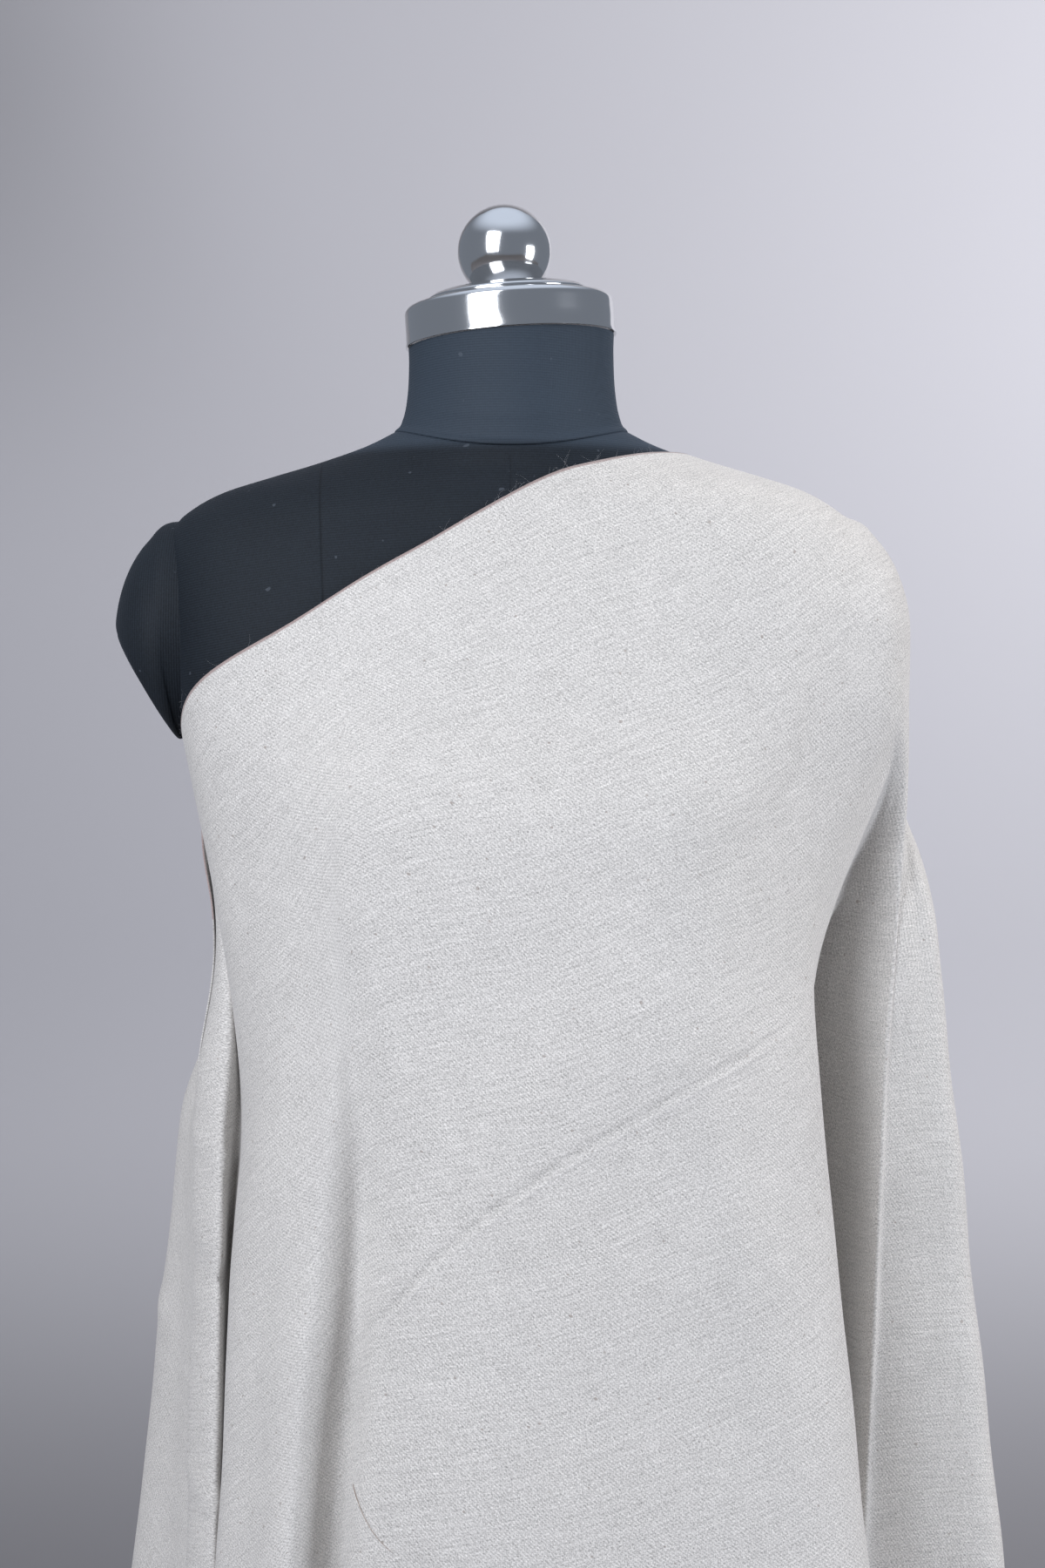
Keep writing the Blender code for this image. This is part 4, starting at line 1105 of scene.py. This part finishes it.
def thread_on(surface):
    """One loose brown thread that lies low on the front of the stole."""
    t = np.linspace(0, 1, 24)
    row = 100 + 6 * t
    column = 107.6 + 6.6 * t + 0.15 * np.sin(t * 5.0)
    i, j = row.astype(int), column.astype(int)
    spine = blend(surface, i, j, j + 1, (row - i)[:, None], (column - j)[:, None])
    spine[:, 1] -= 0.0004 + 0.0012 * np.sin(t * math.pi)
    look = material_named("brown_thread", thread_look, (0.3, 0.19, 0.12))
    return tubes("loose_thread", spine[None], THREAD_RADIUS, look)


# ---------- the studio
def softbox(scene, name, spot, aim, size, power, tint):
    """A lit rectangle. Only those in front show in the polished metal."""
    light = bpy.data.lights.new(name, "AREA")
    light.shape = "RECTANGLE"
    light.size, light.size_y = size
    light.energy = power
    light.color = tint
    lamp = bpy.data.objects.new(name, light)
    scene.collection.objects.link(lamp)
    lamp.location = spot
    lamp.rotation_euler = (Vector(aim) - Vector(spot)).to_track_quat("-Z", "Y").to_euler()
    lamp.visible_glossy = spot[1] < 0


def make_air(scene):
    """Soft light from all round, stronger from above. Matt surfaces get it warm, polished ones
    reflect it cooler and brighter, and it is pale past the backdrop's edges."""
    scene.world = scene.world or bpy.data.worlds.new("studio")
    scene.world.use_nodes = True
    air = Nodes(scene.world.node_tree, "Background")
    glossy = air.node("ShaderNodeLightPath", {}, {}, "Is Glossy Ray")
    sky = air.mixed((1.0, 0.94, 0.9, 1.0), (1.5, 1.68, 2.00, 1.0), glossy)
    sky = air.mixed(sky, (2.9, 3.0, 3.3, 1.0), glossy.other("Is Camera Ray"))
    air.set("Color", sky)
    rise = air.axes(air.place("Generated"))[2]
    air.set("Strength", rise.between(0.55, 0.95, 0.14, 0.52))


def make_stage(context):
    scene = context.scene
    stage = scene.dressed_form.stage
    paper = material_named("backdrop_paper", backdrop_look, stage)
    turn = np.radians(np.linspace(0, 90, 24))
    wall = BEND_START + BEND_RADIUS
    front = np.stack([np.linspace(FLOOR_START, BEND_START, 20), np.zeros(20)], axis=1)
    curve = BEND_RADIUS * np.stack([np.sin(turn), 1.0 - np.cos(turn)], axis=1) + [BEND_START, 0.0]
    back = np.stack([np.full(12, wall), np.linspace(BEND_RADIUS + 0.2, WALL_HEIGHT, 12)], axis=1)
    profile = np.vstack([front, curve[1:], back])
    across = np.linspace(-1.0, 1.0, 24)
    half = FLOOR_HALF + (WALL_HALF - FLOOR_HALF) * eased(0.8, 1.9, profile[:, :1])
    grid = np.empty((len(profile), len(across), 3))
    grid[..., 0] = across * half
    grid[..., 1:] = profile[:, None]
    sheet = mesh_object("backdrop", grid, quads(*grid.shape[:2], False).tolist(), paper)

    for light in (
        ("key_softbox", (-0.95, -1.7, 2.03), (0, 0, 1.22), (1.1, 1.8), stage.key, (0.89, 0.925, 1)),
        ("side_softbox", (1.95, -0.85, 1.3), (0, 0, 1), (0.75, 1), stage.fill, (0.88, 0.92, 1)),
        ("backdrop_light", (1.9, 0.5, 2.3), (0.6, 2.6, 2.05), (0.7, 0.7), 72, (1, 0.965, 0.955)),
    ):
        softbox(scene, *light)
    make_air(scene)
    scene.view_settings.view_transform = "Standard"

    lens = bpy.data.cameras.new("camera")
    lens.sensor_fit = "VERTICAL"
    lens.sensor_height = 36.0
    lens.lens = stage.lens
    camera = bpy.data.objects.new("camera", lens)
    scene.collection.objects.link(camera)
    camera.location = CAMERA_SPOT
    camera.rotation_euler = (math.pi / 2, 0.0, 0.0)
    scene.camera = camera


# ---------- the add-on
class STOLE_OT_form(bpy.types.Operator):
    """Build the torso, neck and arm caps in ribbed jersey"""

    bl_idname = "stole.form"
    bl_label = "Dress form"

    def execute(self, context):
        make_form(context)
        return {"FINISHED"}


class STOLE_OT_metal(bpy.types.Operator):
    """Build the polished neck cap, disc and ball, and the stand"""

    bl_idname = "stole.metal"
    bl_label = "Neck cap and stand"

    def execute(self, context):
        make_metal(context)
        return {"FINISHED"}


class STOLE_OT_stole(bpy.types.Operator):
    """Drape the wool stole over the form, with its loose hairs"""

    bl_idname = "stole.stole"
    bl_label = "Wool stole"

    def execute(self, context):
        make_stole(context)
        return {"FINISHED"}


class STOLE_OT_stage(bpy.types.Operator):
    """Set up the backdrop, the lights and the camera"""

    bl_idname = "stole.stage"
    bl_label = "Studio"

    def execute(self, context):
        make_stage(context)
        return {"FINISHED"}


class STOLE_PT_panel(bpy.types.Panel):
    """The stole's settings and its makers"""

    bl_label = "Stole"
    bl_idname = "STOLE_PT_panel"
    bl_space_type = "VIEW_3D"
    bl_region_type = "UI"
    bl_category = "Stole"

    def draw(self, context):
        dressed = context.scene.dressed_form
        for group, makers in (
            (dressed.form, ("stole.form", "stole.metal")),
            (dressed.cloth, ("stole.stole",)),
            (dressed.stage, ("stole.stage",)),
        ):
            box = self.layout.box()
            for name in group.__annotations__:
                box.prop(group, name)
            for maker in makers:
                box.operator(maker)


CLASSES = (
    ClothSettings,
    FormSettings,
    StageSettings,
    DressedForm,
    STOLE_OT_form,
    STOLE_OT_metal,
    STOLE_OT_stole,
    STOLE_OT_stage,
    STOLE_PT_panel,
)


def register():
    for item in CLASSES:
        bpy.utils.register_class(item)
    bpy.types.Scene.dressed_form = bpy.props.PointerProperty(
        type=DressedForm, name="Dressed form", description="Settings of the stole and its form"
    )


def unregister():
    del bpy.types.Scene.dressed_form
    for item in reversed(CLASSES):
        bpy.utils.unregister_class(item)


def main():
    register()
    bpy.ops.stole.form()
    bpy.ops.stole.metal()
    bpy.ops.stole.stole()
    bpy.ops.stole.stage()


if __name__ == "__main__":
    main()
